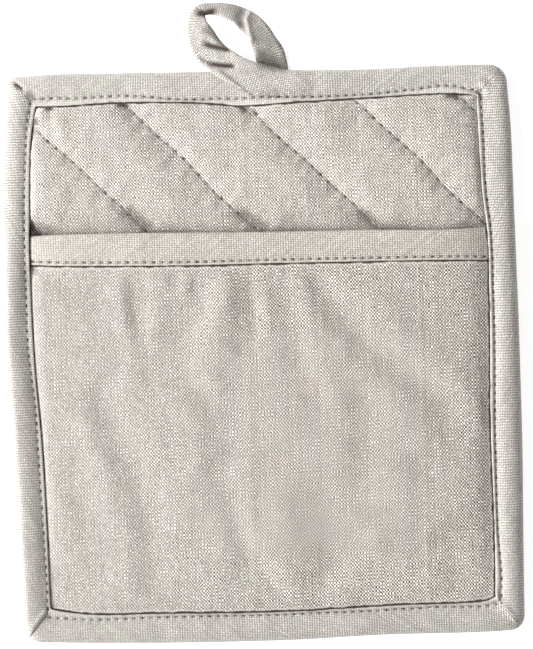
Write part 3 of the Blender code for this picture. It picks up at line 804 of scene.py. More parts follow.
@dataclass
class QuiltedPad(Piece):
    """The wadded pad, sewn through along slanting lines, with a crown between each two."""

    quilting: Quilting = field(default_factory=Quilting)
    columns: int = 168
    rows: int = 186
    tuck: float = 8.2  # how far it runs on under the binding
    corner: float = 6.0
    corner_in: float = 4.0  # how far its rounded corners stay inside the binding's
    crown_bare: float = 7.55
    crown_pocket: float = 5.5
    channel: float = 1.35  # how far the cloth sinks to a stitched line
    fall: float = 3.3
    swell: float = 0.5  # how far each crown bulges between its lines
    foot_lift: float = 1.9
    foot_fall: float = 6.5
    # Folds; where they darken, the darkening is painted shade in the mitres, the corners and the hollows by
    # the pocket's mouth.
    creases: tuple[Crease, ...] = (
        Crease(((-82, 100), (-80, 90), (-79, 82)), 2.4, drop=-0.26),
        Crease(((-84, 100), (-82.5, 95)), 1.8, rise=-0.3, painted_shade=0.3, fade=3.0),
        Crease(((-53.5, 58.8), (-42.7, 49.9)), 3.4, rise=-0.6, painted_shade=0.58, fade=4.0),
        Crease(((-9.5, 57.5), (3.2, 48.5)), 3.4, rise=-0.6, painted_shade=0.58, fade=4.0),
        Crease(((38.5, 56.1), (49.2, 47.2)), 3.4, rise=-0.6, painted_shade=0.58, fade=4.0),
        Crease(((-91.8, 54.1), (-78.4, 49.7)), 3.0, rise=-0.5, painted_shade=0.5, fade=4.0),
        Crease(((-85.0, 100.2), (-81.3, 100.0)), 2.0, painted_shade=0.95, fade=1.5),
        Crease(((-56.6, 101.2), (-51.4, 100.2)), 1.8, painted_shade=0.95, fade=2.0),
        Crease(((74.5, 101.0), (80.2, 99.8)), 2.0, painted_shade=0.9, fade=2.5),
        Crease(((-7.6, 99.4), (-4.8, 96.4)), 1.9, painted_shade=0.95, fade=1.5),
        Crease(((-89.6, 96.6), (-88.6, 93.4)), 1.9, painted_shade=0.85, fade=1.5),
        Crease(((-92.3, 55.0), (-91.8, 51.0)), 1.8, painted_shade=0.85, fade=1.5),
    )

    def rim(self, x: Array, y: Array) -> tuple[Array, Array]:
        """Underside and top of the pressed rim, thinner where the loop's root is under it."""
        root = np.interp(x, (-8, -2, 14.9, 21), (0, 1, 1, 0)) * (y > 0)
        near = np.minimum(*beside(x, y))
        plump = ease((16.0 - near) / 8.0) * np.interp(y, (50, 58, 86, 100), (0, 1, 1, 0))
        return mix(1.3, 3.0, root), mix(3.7, 4.3, root) + 1.1 * plump

    def gather(self, x: Array, y: Array, inset: float) -> Array:
        """Height of the little pleats that the quilting's thread draws beside each line."""
        apart, line = self.quilting.apart(x, y)
        along = (x - y) / math.sqrt(2)
        wave = np.sin(along * math.tau / 5.3 + line * 2.1 + 1.4 * np.sin(along / 6.1 + line))
        wave += 0.6 * np.sin(along * math.tau / 8.7 + line * 4.0)
        near = np.exp(-np.abs(apart) / 4.5) * (1 - np.exp(-np.abs(apart) / 0.9))
        stitch = np.cos(along * math.tau / self.quilting.stitch) * np.exp(-(apart / 1.3) ** 2)
        return inset * (0.42 * wave * near - 0.16 * stitch)

    def top(self, x: Array, y: Array) -> Array:
        """Height of the upper face."""
        above = y - MOUTH.top(x)
        bared = ease(above / 3.0)
        sunk = self.quilting.held(x, y, 0.4) * np.exp(-np.maximum(above, 0.0) / 3.6)
        crown = mix(self.crown_bare, self.crown_pocket, sunk)
        gap = inside(x, y)
        rise = mix(ease(gap / 18.0), ease((gap + 0.6) / 2.4), bared)
        rim = self.rim(x, y)[1]
        left, right = beside(x, y)
        for near, sink, reach in ((left, 1.6, 2.6), (right, 1.1, 3.0), (TOP.seam(x) - y, 1.3, 3.0)):
            crown = crown - sink * np.exp(-np.maximum(near, 0.0) / reach) * bared
        apart, _ = self.quilting.apart(x, y)
        dip = self.channel * np.exp(-np.abs(apart) / self.fall) + self.swell * np.exp(-(apart / 9.0) ** 2)
        dip = dip * (1.0 - 0.5 * sunk)
        level = rim + (crown - rim - dip) * rise
        soft = 0.20 * ripple(x, y, 17.0, 3) + 0.07 * ripple(x, y, 7.0, 4)
        level = level + (self.gather(x, y, 0.72) + soft * bared) * rise + lift_all(self.creases, x, y)
        under = np.minimum(level, PocketPanel().foot(x, y) - 0.35)
        return np.where(above > -1.0, level, under)

    def foot(self, x: Array, y: Array) -> Array:
        """Height of the underside, flat on the ground but for its rim and its channels."""
        apart, _ = self.quilting.apart(x, y)
        rise = ease(inside(x, y) / 8.0)
        lift = self.foot_lift * np.exp(-np.abs(apart) / (self.foot_fall / 2.6))
        pleats = np.maximum(-self.gather(x, y, 1.0), 0.0)
        return np.maximum(mix(self.rim(x, y)[0], lift + pleats, rise), 0.0)

    def build(self) -> bpy.types.Object:
        """Model the pad, dress it and let it replace the plain one."""
        mesh, across, along, upper = Workroom.sheet(self.columns, self.rows)
        y = mix(-112.0, 113.0, along)
        x = np.zeros(len(y))
        for _ in range(3):
            x = mix(-LEFT.seam(y) - self.tuck, RIGHT.seam(y) + self.tuck, across)
            y = mix(-BOTTOM.seam(x) - self.tuck, TOP.seam(x) + self.tuck, along)
        x, y = self.rounded(x, y)
        z = np.where(upper, self.top(x, y), self.foot(x, y))
        Workroom.move(mesh, np.column_stack((x, y, z)))
        line, run = self.quilting.count(x, y)
        Workroom.lay_uv(mesh, "Weave", np.column_stack((x, y)))
        Workroom.lay_uv(mesh, "Seam", np.column_stack((run / self.quilting.stitch, line)))
        # Painted shade where the pad drops under the mouth tape, deepest beside each quilted line, fading
        # up the pad and near the right seam.
        above = y - MOUTH.top(x)
        held = self.quilting.held(x, y, 0.55)
        shade = 0.70 * held * np.exp(-np.maximum(above, 0.0) / 3.9) * (above > -3.0)
        shade = shade * mix(0.4, 1.0, ease((RIGHT.seam(y) - x) / 9.0))
        painted_shade = np.maximum(painted_shade_all(self.creases, x, y), shade)
        Workroom.mark(mesh, "painted_shade", np.where(upper, painted_shade, 0.0))
        # The seam's painted shade line, with a painted highlight beside it.
        Workroom.mark(mesh, "gap", np.clip(line_gap(x, y), -2.0, 4.0))
        finish = Chambray("pad_chambray", pale=(0.815, 0.787, 0.722), dark=(0.285, 0.233, 0.215),
                          evened_left=0.15, crossing=0.28, pitch=(0.595, 0.69), skew=0.02, twill=0.28,
                          drift=1.25,
                          hole=(0.22, 0.8), thread_line=0.38, stitch=self.quilting.stitch,
                          line_pitch=self.quilting.pitch)
        piece = Workroom.hang(mesh, "pad_cloth", finish.build())
        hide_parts("quilted_pad")
        return piece

    def rounded(self, x: Array, y: Array) -> tuple[Array, Array]:
        """Draw the rim's four corners in, so that they stay inside the binding's."""
        for corner, side in zip(CORNERS, ((-1, -1), (1, -1), (1, 1), (-1, 1))):
            middle_x = corner.x - side[0] * (self.corner + self.corner_in)
            middle_y = corner.y - side[1] * (self.corner + self.corner_in)
            out_x, out_y = (x - middle_x) * side[0], (y - middle_y) * side[1]
            far = np.hypot(out_x, out_y)
            over = (out_x > 0) & (out_y > 0) & (far > self.corner)
            draw = np.where(over, self.corner / np.maximum(far, 1e-6), 1.0)
            x = middle_x + (x - middle_x) * draw
            y = middle_y + (y - middle_y) * draw
        return x, y


@dataclass
class PocketPanel(Piece):
    """The pocket's plain sheet, held along three sides and by the tape along its mouth."""

    columns: int = 172
    rows: int = 150
    tuck: float = 3.5
    short: float = 2.5  # from the top of the mouth tape down to the sheet's upper edge
    seam: float = 4.3
    rest: float = 8.0
    thick: float = 0.95
    flat: tuple[float, float] = (0.190, 0.150)
    creases: tuple[Crease, ...] = (
        Crease(((-53.5, 32), (-54, 22), (-52.5, 12)), 3.4, 0.16),
        Crease(((-54, 30), (-53, 16), (-50.5, 2), (-49, -8)), 5.0, 0.36),
        Crease(((-36, 36), (-36.5, 27)), 2.4, 0.26),
        Crease(((-28, 36), (-29, 25)), 2.6, 0.34),
        Crease(((-10, 38), (-10.5, 22), (-11, 8), (-12, 0)), 6.8, 0.50, painted_shade=0.04),
        Crease(((6, 36), (8, 27)), 2.4, 0.2),
        Crease(((16.5, 36), (20, 24), (27, 12), (36, 3)), 5.4, 0.26),
        Crease(((33, 4), (47, -8), (60, -18), (70, -30)), 8.5, 0.40),
        Crease(((62, -22), (68, -38)), 7.0, 0.20),
        Crease(((56, 36), (60, 26)), 2.2, 0.2),
        Crease(((62, 36), (65, 28)), 2.0, 0.16),
        Crease(((-72, -12), (-67, -24), (-60, -46), (-53, -62), (-50, -97)), 8.0, 0.40),
        Crease(((-84, -51), (-77, -60), (-75, -80)), 4.0, 0.14),
        Crease(((-26.5, -14), (-24, -28), (-22, -46)), 9.0, 0.52),
        Crease(((-23, -44), (-20, -56), (-15.5, -70), (-11, -84)), 6.6, 0.15),
        Crease(((-41, 12), (-45, -8)), 5.0, 0.2),
        Crease(((11, -55), (15, -72), (14, -92)), 11.0, 0.60),
        Crease(((-8, -60), (-3, -71)), 4.0, 0.18),
        Crease(((-6, -87), (4, -98)), 3.0, 0.25),
        Crease(((34, -16), (35, -36), (31, -56)), 8.0, 0.3),
        Crease(((56, -42), (58, -62)), 8.0, 0.25),
        Crease(((66, -70), (70, -95)), 8.0, 0.35),
        Crease(((-61, 36), (-63, 22)), 4.0, -0.18),
        Crease(((-46, 37), (-45, 24), (-45, 10)), 4.6, -0.24),
        Crease(((-32, 36), (-33, 30)), 2.5, -0.22),
        Crease(((-17, 32), (-22, 17), (-28.5, 4), (-27, -7), (-21, -17)), 6.8, -0.52),
        Crease(((-3, 37), (-2, 21), (0, 8)), 3.8, -0.28),
        Crease(((10, 37), (13, 20), (15, 7), (21, -11), (25, -25)), 7.0, -0.46),
        Crease(((24, 34), (33, 21), (50, 2), (73, -18), (84, -33)), 8.5, -0.62),
        Crease(((-17, -42), (-10, -65), (-4, -83), (7, -99)), 7.0, -0.27),
        Crease(((-77, -20), (-71, -46), (-63, -68)), 7.5, -0.22),
        Crease(((-64, -9), (-55, -25), (-44, -45), (-40, -72)), 9.0, -0.32),
        Crease(((38, -70), (35, -84), (19, -99)), 6.5, -0.34),
    )

    def foot(self, x: Array, y: Array) -> Array:
        """Height of the underside."""
        left, right, low = (np.maximum(gap, 0.0) for gap in (*beside(x, y), y + BOTTOM.seam(x)))
        rise = 0.46 * (1 - np.exp(-left / 2.1)) + 0.54 * ease(left / 85.0)
        rise = rise * (1 - 0.82 * np.exp(-right / 6.0))
        rise = rise * (0.45 * (1 - np.exp(-low / 2.5)) + 0.55 * ease(low / 45.0))
        soft = 0.10 * ripple(x, y, 26.0, 11) + 0.08 * ripple(x, y, 12.0, 12) + 0.025 * ripple(x, y, 5.0, 14)
        folds = (lift_all(self.creases, x, y) + soft) * ease(inside(x, y) / 5.0)
        level = mix(self.seam, self.rest, rise) + folds
        end = MOUTH.end(x)
        held = sum(mix(*ends, end) for ends in (MouthTape.floors, MouthTape.legs, MouthTape.airs))
        below = MOUTH.low(x) - y
        gathers = 0.10 * ripple(x, y * 0.2, 6.0, 13) * np.exp(-np.maximum(below, 0) / 6.0)
        level = level + gathers * rise
        return mix(held, level, ease(below / mix(6.0, 9.0, end)))

    def build(self) -> bpy.types.Object:
        """Model the sheet, dress it and let it replace the plain one."""
        mesh, across, along, upper = Workroom.sheet(self.columns, self.rows)
        y = mix(-105.0, 45.0, along)
        x = np.zeros(len(y))
        for _ in range(3):
            x = mix(-LEFT.seam(y) - self.tuck, RIGHT.seam(y) + self.tuck, across)
            y = mix(-BOTTOM.seam(x) - self.tuck, MOUTH.top(x) - self.short, along)
        foot = self.foot(x, y)
        below = MOUTH.low(x) - y
        z = np.where(upper, foot + mix(0.6, self.thick, ease(below / 4.0)), foot)
        Workroom.move(mesh, np.column_stack((x, y, z)))
        Workroom.lay_uv(mesh, "Weave", np.column_stack((x + 0.21, y + 0.4)))
        Workroom.lay_uv(mesh, "Seam", np.full((len(x), 2), 90.0))
        # Painted shade in the bottoms of the folds, and the seam's painted shade line with a painted
        # highlight beside it.
        Workroom.mark(mesh, "painted_shade", np.where(upper, painted_shade_all(self.creases, x, y), 0.0))
        Workroom.mark(mesh, "gap", np.clip(np.minimum(line_gap(x, y), below), -2.0, 4.0))
        piece = Workroom.hang(mesh, "panel_cloth", Chambray("panel_chambray", evened_left=0.6).build())
        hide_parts("pocket_panel")
        return piece


@dataclass
class MouthTape(Piece):
    """The bias tape folded over the pocket's upper edge."""

    columns: int = 176
    tuck: float = 3.5
    groove: float = 1.35  # stitched line, from the lower edge
    legs: tuple[float, float] = (0.6, 0.8)
    airs: tuple[float, float] = (0.5, 0.55)  # these three: in the side seams, and over the pad
    floors: tuple[float, float] = (4.1, 7.1)
    sewn: int = 21  # the section's point where the stitches lie

    def section(self, x: float) -> Array:
        """Its cross-section at a place across the body.

        Args:
            x: the place in millimetres.

        Returns:
            The points round it, from the hidden end of its fold.
        """
        end = float(MOUTH.end(x))
        low, top = float(MOUTH.low(x)), float(MOUTH.top(x))
        leg, foot = mix(*self.legs, end), mix(*self.floors, end)
        back = foot + leg
        front = back + 0.6 + 2 * mix(*self.airs, end)
        crown = front + leg + 0.12 * math.sin(x / 9.0) * end
        stitched = low + self.groove
        middle = (foot + crown) / 2
        return np.array([(x, y, z) for y, z in (
            (top - 1.7, back), (low + 5.0, back), (low + 1.2, back), (low + 0.5, back - 0.1),
            (low + 0.45, foot + 0.2), (low + 0.8, foot), (low + 2.4, foot), (low + 6.0, foot),
            (top - 3.0, foot), (top - 1.4, mix(foot, middle, 0.15)), (top - 0.45, mix(foot, middle, 0.5)),
            (top - 0.05, mix(foot, middle, 0.85)), (top, mix(middle, crown, 0.25)),
            (top - 0.25, mix(middle, crown, 0.62)), (top - 0.9, mix(middle, crown, 0.88)),
            (top - 2.0, crown), (top - 3.6, crown - 0.03), (low + 6.2, crown - 0.05),
            (low + 4.2, crown - 0.02), (low + 2.9, crown - 0.08), (stitched + 0.6, crown - 0.32),
            (stitched, crown - 0.5), (stitched - 0.5, crown - 0.3), (low + 0.45, crown - 0.14),
            (low + 0.12, crown - 0.26), (low, crown - 0.55), (low + 0.1, front + 0.05),
            (low + 0.7, front), (low + 5.0, front), (top - 1.7, front),
        )])

    def build(self) -> bpy.types.Object:
        """Model the tape, dress it and let it replace the plain one."""
        left = -float(LEFT.seam(38.0)) - self.tuck
        right = float(RIGHT.seam(34.5)) + self.tuck
        rings = [self.section(x) for x in np.linspace(left, right, self.columns + 1)]
        girth = walk(rings[len(rings) // 2])
        mesh = bmesh.new()
        Workroom.loft(mesh, rings, closed=False)
        at, point = Workroom.places(mesh), Workroom.numbers(mesh, "point")
        x, y = at[:, 0], at[:, 1]
        at[:, 2] += 0.07 * ripple(x, y, 13.0, 21) * MOUTH.end(x)
        Workroom.move(mesh, at)
        Workroom.lay_uv(mesh, "Weave", np.column_stack((x, girth[point])))
        Workroom.lay_uv(mesh, "Seam", np.column_stack((x / MOUTH_STITCH, y - MOUTH.low(x) - self.groove)))
        Workroom.mark(mesh, "painted_shade", np.zeros(len(x)))
        # A painted shade line along the tape's lower edge and at its tucked ends, and a painted highlight
        # on its upper fold.
        lip = np.clip(np.minimum(y - MOUTH.low(x), MOUTH.top(x) - y + 0.9) + 0.75, 0.75, 4.0)
        ends = np.clip(np.minimum(*beside(x, y)), 0.0, 4.0)
        Workroom.mark(mesh, "gap", np.minimum(lip, ends))
        finish = ChambrayTape("mouth_tape_chambray", stitch=MOUTH_STITCH, pale=(0.722, 0.692, 0.622))
        piece = Workroom.hang(mesh, "mouth_tape", finish.build())
        Workroom.smooth(piece)
        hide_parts("pocket_binding")
        return piece


class Layers(NamedTuple):
    """Heights of the edge binding's layers at a place along a side."""

    base: float
    leg: float
    roof: float
    crown: float


class Station(NamedTuple):
    """A cross-section of the edge binding: its line in plan, its heights and its side."""

    outer: Vector
    inner: Vector
    layers: Layers
    stitched: float
    side: int


OPEN = Layers(0.0, 0.9, 4.3, 5.4)
PLUMP = Layers(0.0, 0.9, 5.2, 6.2)
POCKET = Layers(0.0, 0.9, 5.9, 7.3)
OVER_MOUTH = Layers(0.0, 0.9, 7.2, 8.2)


@dataclass
class EdgeTape(Piece):
    """The bias tape folded round the rim of the pad and the pocket, mitred at its corners."""

    pitch: float = 1.7
    zone: float = 22.0  # length of each side in which its cross-sections turn to the mitre
    nose: float = 2.2
    fan: tuple[float, ...] = (0.10, 0.20, 0.30, 0.38, 0.44, 0.475, 0.5, 0.525, 0.56, 0.62, 0.70, 0.80,
                              0.90)
    mitre_dip: float = 0.3
    crests: tuple[tuple[float, float], ...] = ((0.42, 0.42), (0.44, 0.62), (0.42, 0.42), (0.60, 0.28))
    shares: tuple[float, ...] = (0.0, 0.012, 0.045, 0.10, 0.18, 0.27, 0.36, 0.46, 0.56, 0.66, 0.75,
                                 0.84, 0.91, 0.96, 1.0)
    outermost: int = 16  # the section's point at the outer edge
    lip_gaps: tuple[float, ...] = (1.6, 1.1, 0.95, 0.7, 0.3, 0.0, 0.0)  # to the painted shade line, at the hem; the larger ones paint a highlight on the lip
    fold_gaps: tuple[float, ...] = (1.45, 1.45, 1.45, 1.5, 1.7)  # the same, from the outer edge, where they paint a highlight on the fold
    plumps: tuple[tuple[float, float], ...] = ((0.4, 0.4), (0.3, 0.3), (0.35, 0.35), (0.2, 0.8))
    side_shade: tuple[float, ...] = (0.13, 0.08, 0.0, 0.07)  # painted shade laid over each whole side: the bottom darkest, the top none
    groove: float = 0.3
    lips: tuple[float, ...] = (1.05, 1.05, 1.05, 0.45)  # how far the hem swells beside the stitches
    stretch: tuple[float, ...] = (0.99, 0.93, 1.0, 0.975)  # how much closer each side's yarns lie
    # Folds and mitres; where they darken, the darkening is painted shade, and the one along the loop's
    # tongue is its painted shadow.
    creases: tuple[Crease, ...] = (
        Crease(((-96.9, 110.7), (-93.2, 107.7)), 0.9, rise=-1.0, painted_shade=0.95, fade=1.2),
        Crease(((-91.6, 106.8), (-88.6, 104.2)), 1.9, rise=-0.5, painted_shade=0.5, fade=2.5),
        Crease(((90.2, 107.2), (93.2, 103.5)), 1.1, rise=-0.5, painted_shade=0.45, fade=1.5),
        Crease(((87.0, 102.6), (89.9, 98.4)), 1.1, rise=-0.4, painted_shade=0.5, fade=1.5),
        Crease(((88.4, 104.6), (91.6, 101.0)), 0.8, rise=0.4, fade=1.5),
        Crease(((-96.8, -107.2), (-89.8, -99.0)), 0.9, rise=0.5, fade=2.0),
        Crease(((88.7, -99.5), (96.8, -108.9)), 0.9, rise=0.5, fade=2.0),
        Crease(((-15.6, 113.6), (-9.4, 108.7), (-5.4, 105.2), (-2.2, 102.8)), 0.7, painted_shade=0.55, fade=2.0),
        Crease(((-84.5, 101), (-80, 107)), 0.8, rise=-0.22, fade=3.0),
        Crease(((-55.5, 105.5), (-51, 110)), 0.8, rise=-0.2, fade=3.0),
        Crease(((-48, 105), (-46, 108)), 0.8, rise=-0.2, fade=3.0),
    )

    def layers(self, side: int, at: float) -> Layers:
        """Read the heights of the layers at a place along a side."""
        if side == 0:
            return POCKET
        if side == 2:
            places = (-8, -2, 14.1, 14.9, 21, 48)
            rows = (OPEN, Layers(2.0, 0.6, 4.7, 5.8), Layers(2.0, 0.6, 4.7, 5.8),
                    Layers(2.0, 0.6, 4.7, 7.0), Layers(0.0, 0.9, 4.3, 6.7), OPEN)
        else:
            across = RIGHT.rows[0][1] * SIDES[side].outward
            low, top = float(MOUTH.low(across)), float(MOUTH.top(across))
            places = (low - 6.0, low - 1.0, top + 0.6, top + 6.0, 86.0, 100.0)
            rows = (POCKET, OVER_MOUTH, OVER_MOUTH, PLUMP, PLUMP, OPEN)
        return Layers(*(float(np.interp(at, places, column)) for column in zip(*rows)))

    def stations(self) -> list[Station]:
        """Every cross-section once round, from the lower left corner."""
        runs = [self.run(index) for index in range(len(SIDES))]
        found: list[Station] = []
        for index, run in enumerate(runs):
            following = runs[(index + 1) % len(runs)]
            found += run + self.turn(run[-1], following[0], CORNERS[(index + 1) % len(CORNERS)])
        return found

    def run(self, index: int) -> list[Station]:
        """The cross-sections of one side between its rounded corners.

        Args:
            index: the side's number.

        Returns:
            The cross-sections, in the order that they are met.
        """
        side, axis = SIDES[index], SIDES[index].axis.value
        corners = CORNERS[index], CORNERS[(index + 1) % len(CORNERS)]
        start, end = corners[0][axis], corners[1][axis]
        forward = math.copysign(1.0, end - start)
        first, last = start + forward * corners[0].radius, end - forward * corners[1].radius
        steps = round(abs(last - first) / self.pitch)
        found = []
        for at in np.linspace(first, last, steps + 1).tolist():
            inner_at = at
            for corner, seam, into in (
                (start, corners[0][2 + axis], forward), (end, corners[1][2 + axis], -forward),
            ):
                if abs(at - corner) < self.zone:
                    inner_at = mix(seam, corner + into * self.zone, abs(at - corner) / self.zone)
            found.append(Station(
                side.place(at, float(side.edge(at))), side.place(inner_at, float(side.seam(inner_at))),
                self.layers(index, at), float(side.inset(inner_at)), index,
            ))
        return found

    def turn(self, last: Station, first: Station, corner: Corner) -> list[Station]:
        """Fan cross-sections round a corner, sunk at the mitre in their middle.

        Args:
            last: the last cross-section before the corner.
            first: the first one after it.
            corner: the corner.

        Returns:
            The cross-sections between those two.
        """
        inward = Vector((math.copysign(corner.radius, corner.x), math.copysign(corner.radius, corner.y)))
        centre = Vector((corner.x, corner.y)) - inward
        seam_corner = Vector((corner.seam_x, corner.seam_y))
        found = []
        for share in self.fan:
            angle = share * math.pi / 2
            outer = centre + (last.outer - centre) * math.cos(angle)
            outer += (first.outer - centre) * math.sin(angle)
            near = share < 0.5
            inner = (last.inner.lerp(seam_corner, share * 2) if near
                     else seam_corner.lerp(first.inner, share * 2 - 1))
            dip = self.mitre_dip * math.exp(-((share - 0.5) / 0.02) ** 2)
            found.append(Station(
                outer, inner, last.layers._replace(crown=last.layers.crown - dip),
                last.stitched if near else first.stitched, last.side if near else first.side,
            ))
        return found

    def crest(self, side: int, at: float) -> float:
        """Where the dome is highest at a place along a side, from the outer edge to the stitches."""
        upper, lower = self.crests[side]
        return float(np.interp(at, (28.0, 52.0), (lower, upper)))

    def plump(self, side: int, at: float) -> float:
        """How far the dome swells over its layers at a place along a side."""
        upper, lower = self.plumps[side]
        return float(np.interp(at, (28.0, 52.0), (lower, upper)))

    def dome(self, share: float, crest: float, plump: float, layers: Layers) -> float:
        """Height of the tape's upper face between its outer edge and its stitches.

        Args:
            share: how far the place is from the outer edge towards the stitches.
            crest: how far the dome's highest place is.
            plump: how far it swells over the layers.
            layers: the heights of the layers there.

        Returns:
            The height in millimetres.
        """
        if share < crest:
            swell = 0.45 + 0.55 * math.sqrt(1 - (1 - share / crest) ** 2.3)
            return mix(layers.base, layers.crown + plump, swell)
        fallen = ((share - crest) / (1 - crest)) ** 2
        return mix(layers.crown + plump, layers.roof + self.groove, fallen)

    def section(self, station: Station) -> Array:
        """The points round a cross-section, from the hidden end of the fold.

        Args:
            station: where and how high it is.

        Returns:
            The points in millimetres.
        """
        across = station.inner - station.outer
        width = across.length
        base, leg, roof, crown = station.layers
        side = SIDES[station.side]
        at = station.outer[side.axis.value]
        crest, plump = self.crest(station.side, at), self.plump(station.side, at)
        body, tall = width - station.stitched, crown + plump - base
        lip = roof + self.lips[station.side]
        points = [
            (self.nose, base + leg), (width * 0.5, base + leg), (width - 0.6, base + leg),
            (width - 0.1, base + leg * 0.8), (width, base + leg * 0.5), (width - 0.12, base + 0.14),
            (width - 0.6, base), (mix(width, body, 0.6), base), (body, base + 0.32),
            (body - 0.7, base + 0.03), (body * 0.75, base), (body * 0.5, base), (body * 0.28, base),
            (body * 0.16, base + 0.02 * tall), (body * 0.08, base + 0.11 * tall),
            (body * 0.03, base + 0.25 * tall),
        ]
        points += [(body * share, self.dome(share, crest, plump, station.layers)) for share in self.shares]
        points += [
            (mix(body, width, 0.25), mix(roof + self.groove, lip, 0.6)), (mix(body, width, 0.55), lip),
            (width - 0.3, lip - 0.04), (width - 0.06, lip - 0.25), (width, roof + 0.25),
            (width - 0.1, roof + 0.1), (width - 0.6, roof), (width * 0.5, roof), (self.nose, roof),
        ]
        step = across / width
        return np.array([(*(station.outer + step * away), height) for away, height in points])

    def build(self) -> bpy.types.Object:
        """Model the tape, dress it and let it replace the plain one."""
        stations = self.stations()
        rings = [self.section(station) for station in stations]
        mesh = bmesh.new()
        Workroom.loft(mesh, rings, closed=True)
        at = Workroom.places(mesh)
        x, y = at[:, 0], at[:, 1]
        section, point = Workroom.numbers(mesh, "section"), Workroom.numbers(mesh, "point")
        outermost, hem = self.outermost, self.outermost + len(self.shares) + 1
        above = (point > outermost) & (point <= hem)
        soft = 0.14 * ripple(x, y, 31.0, 31) + 0.07 * ripple(x, y, 9.0, 32)
        top = np.interp(point, (outermost, outermost + 4, outermost + 11, outermost + 14), (0, 1, 1, 0))
        # No crease on the outer wall.
        shoulder = np.where(above, np.interp(point, (outermost + 1, outermost + 5), (0, 1)), 0.0)
        at[:, 2] += soft * top + shoulder * lift_all(self.creases, x, y)
        Workroom.move(mesh, at)
        # Painted shade: in the creases and mitres, under the loop's tongue, and over each whole side.
        side = np.array([station.side for station in stations])[section]
        side_shaded = np.array(self.side_shade)[side]
        Workroom.mark(mesh, "painted_shade", np.maximum(shoulder * painted_shade_all(self.creases, x, y), side_shaded))
        # The painted shade line along the inner fold, fainter near the left and right ends, and the painted
        # highlights on the lip and on the outer folds of the top and bottom.
        bare = y > BARE_FROM
        faint = np.where(x < -80, np.where(bare, 0.15, 0.35), np.where((x > 80) & bare, 0.4, 0.0))
        close = np.full(len(point), 4.0)
        ends = side % 2 == 0
        for first, gaps, kept in ((outermost, self.fold_gaps, ends), (hem - 1, self.lip_gaps, True)):
            for step, gap in enumerate(gaps):
                close = np.where((point == first + step) & kept, gap, close)
        Workroom.mark(mesh, "gap", faint + close)
        self.lay_weave(mesh, stations, rings)
        finish = ChambrayTape("edge_tape_chambray")
        piece = Workroom.hang(mesh, "edge_tape", finish.build())
        Workroom.smooth(piece)
        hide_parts("edge_binding")
        return piece

    def lay_weave(self, mesh: bmesh.types.BMesh, stations: list[Station], rings: list[Array]) -> None:
        """Lay the weave and the stitched line along each side, up to the mitres.

        Args:
            mesh: the lofted tape.
            stations: its cross-sections.
            rings: their points.
        """
        weave, seam = mesh.loops.layers.uv.new("Weave"), mesh.loops.layers.uv.new("Seam")
        section, point = mesh.verts.layers.int["section"], mesh.verts.layers.int["point"]
        girth = walk(rings[0]).tolist()
        whole = girth[-1] + float(np.linalg.norm(rings[0][0] - rings[0][-1]))
        count, last = len(stations), len(girth) - 1
        for face in mesh.faces:
            numbers = sorted({corner.vert[section] for corner in face.loops})
            before = numbers[-1] if numbers[-1] - numbers[0] > 1 else numbers[0]
            side = SIDES[stations[before % count].side]
            points = {corner.vert[point] for corner in face.loops}
            wraps = max(points) - min(points) > 1
            for corner in face.loops:
                place, order = corner.vert.co, corner.vert[point]
                run, out = place[side.axis.value], place[1 - side.axis.value] * side.outward
                round_at = whole if wraps and order < last / 2 else girth[order]
                corner[weave].uv = (run * self.stretch[stations[before % count].side], round_at)
                away = out - float(side.seam(run)) - float(side.inset(run))
                corner[seam].uv = (run / EDGE_STITCH, away)


class Turn(NamedTuple):
    """A cross-section of the hanging loop's tape."""

    x: float
    y: float
    z: float
    roll: float  # degrees: 0 lies face up, 90 stands on its edge, 180 lies face down
    width: float
    thick: float


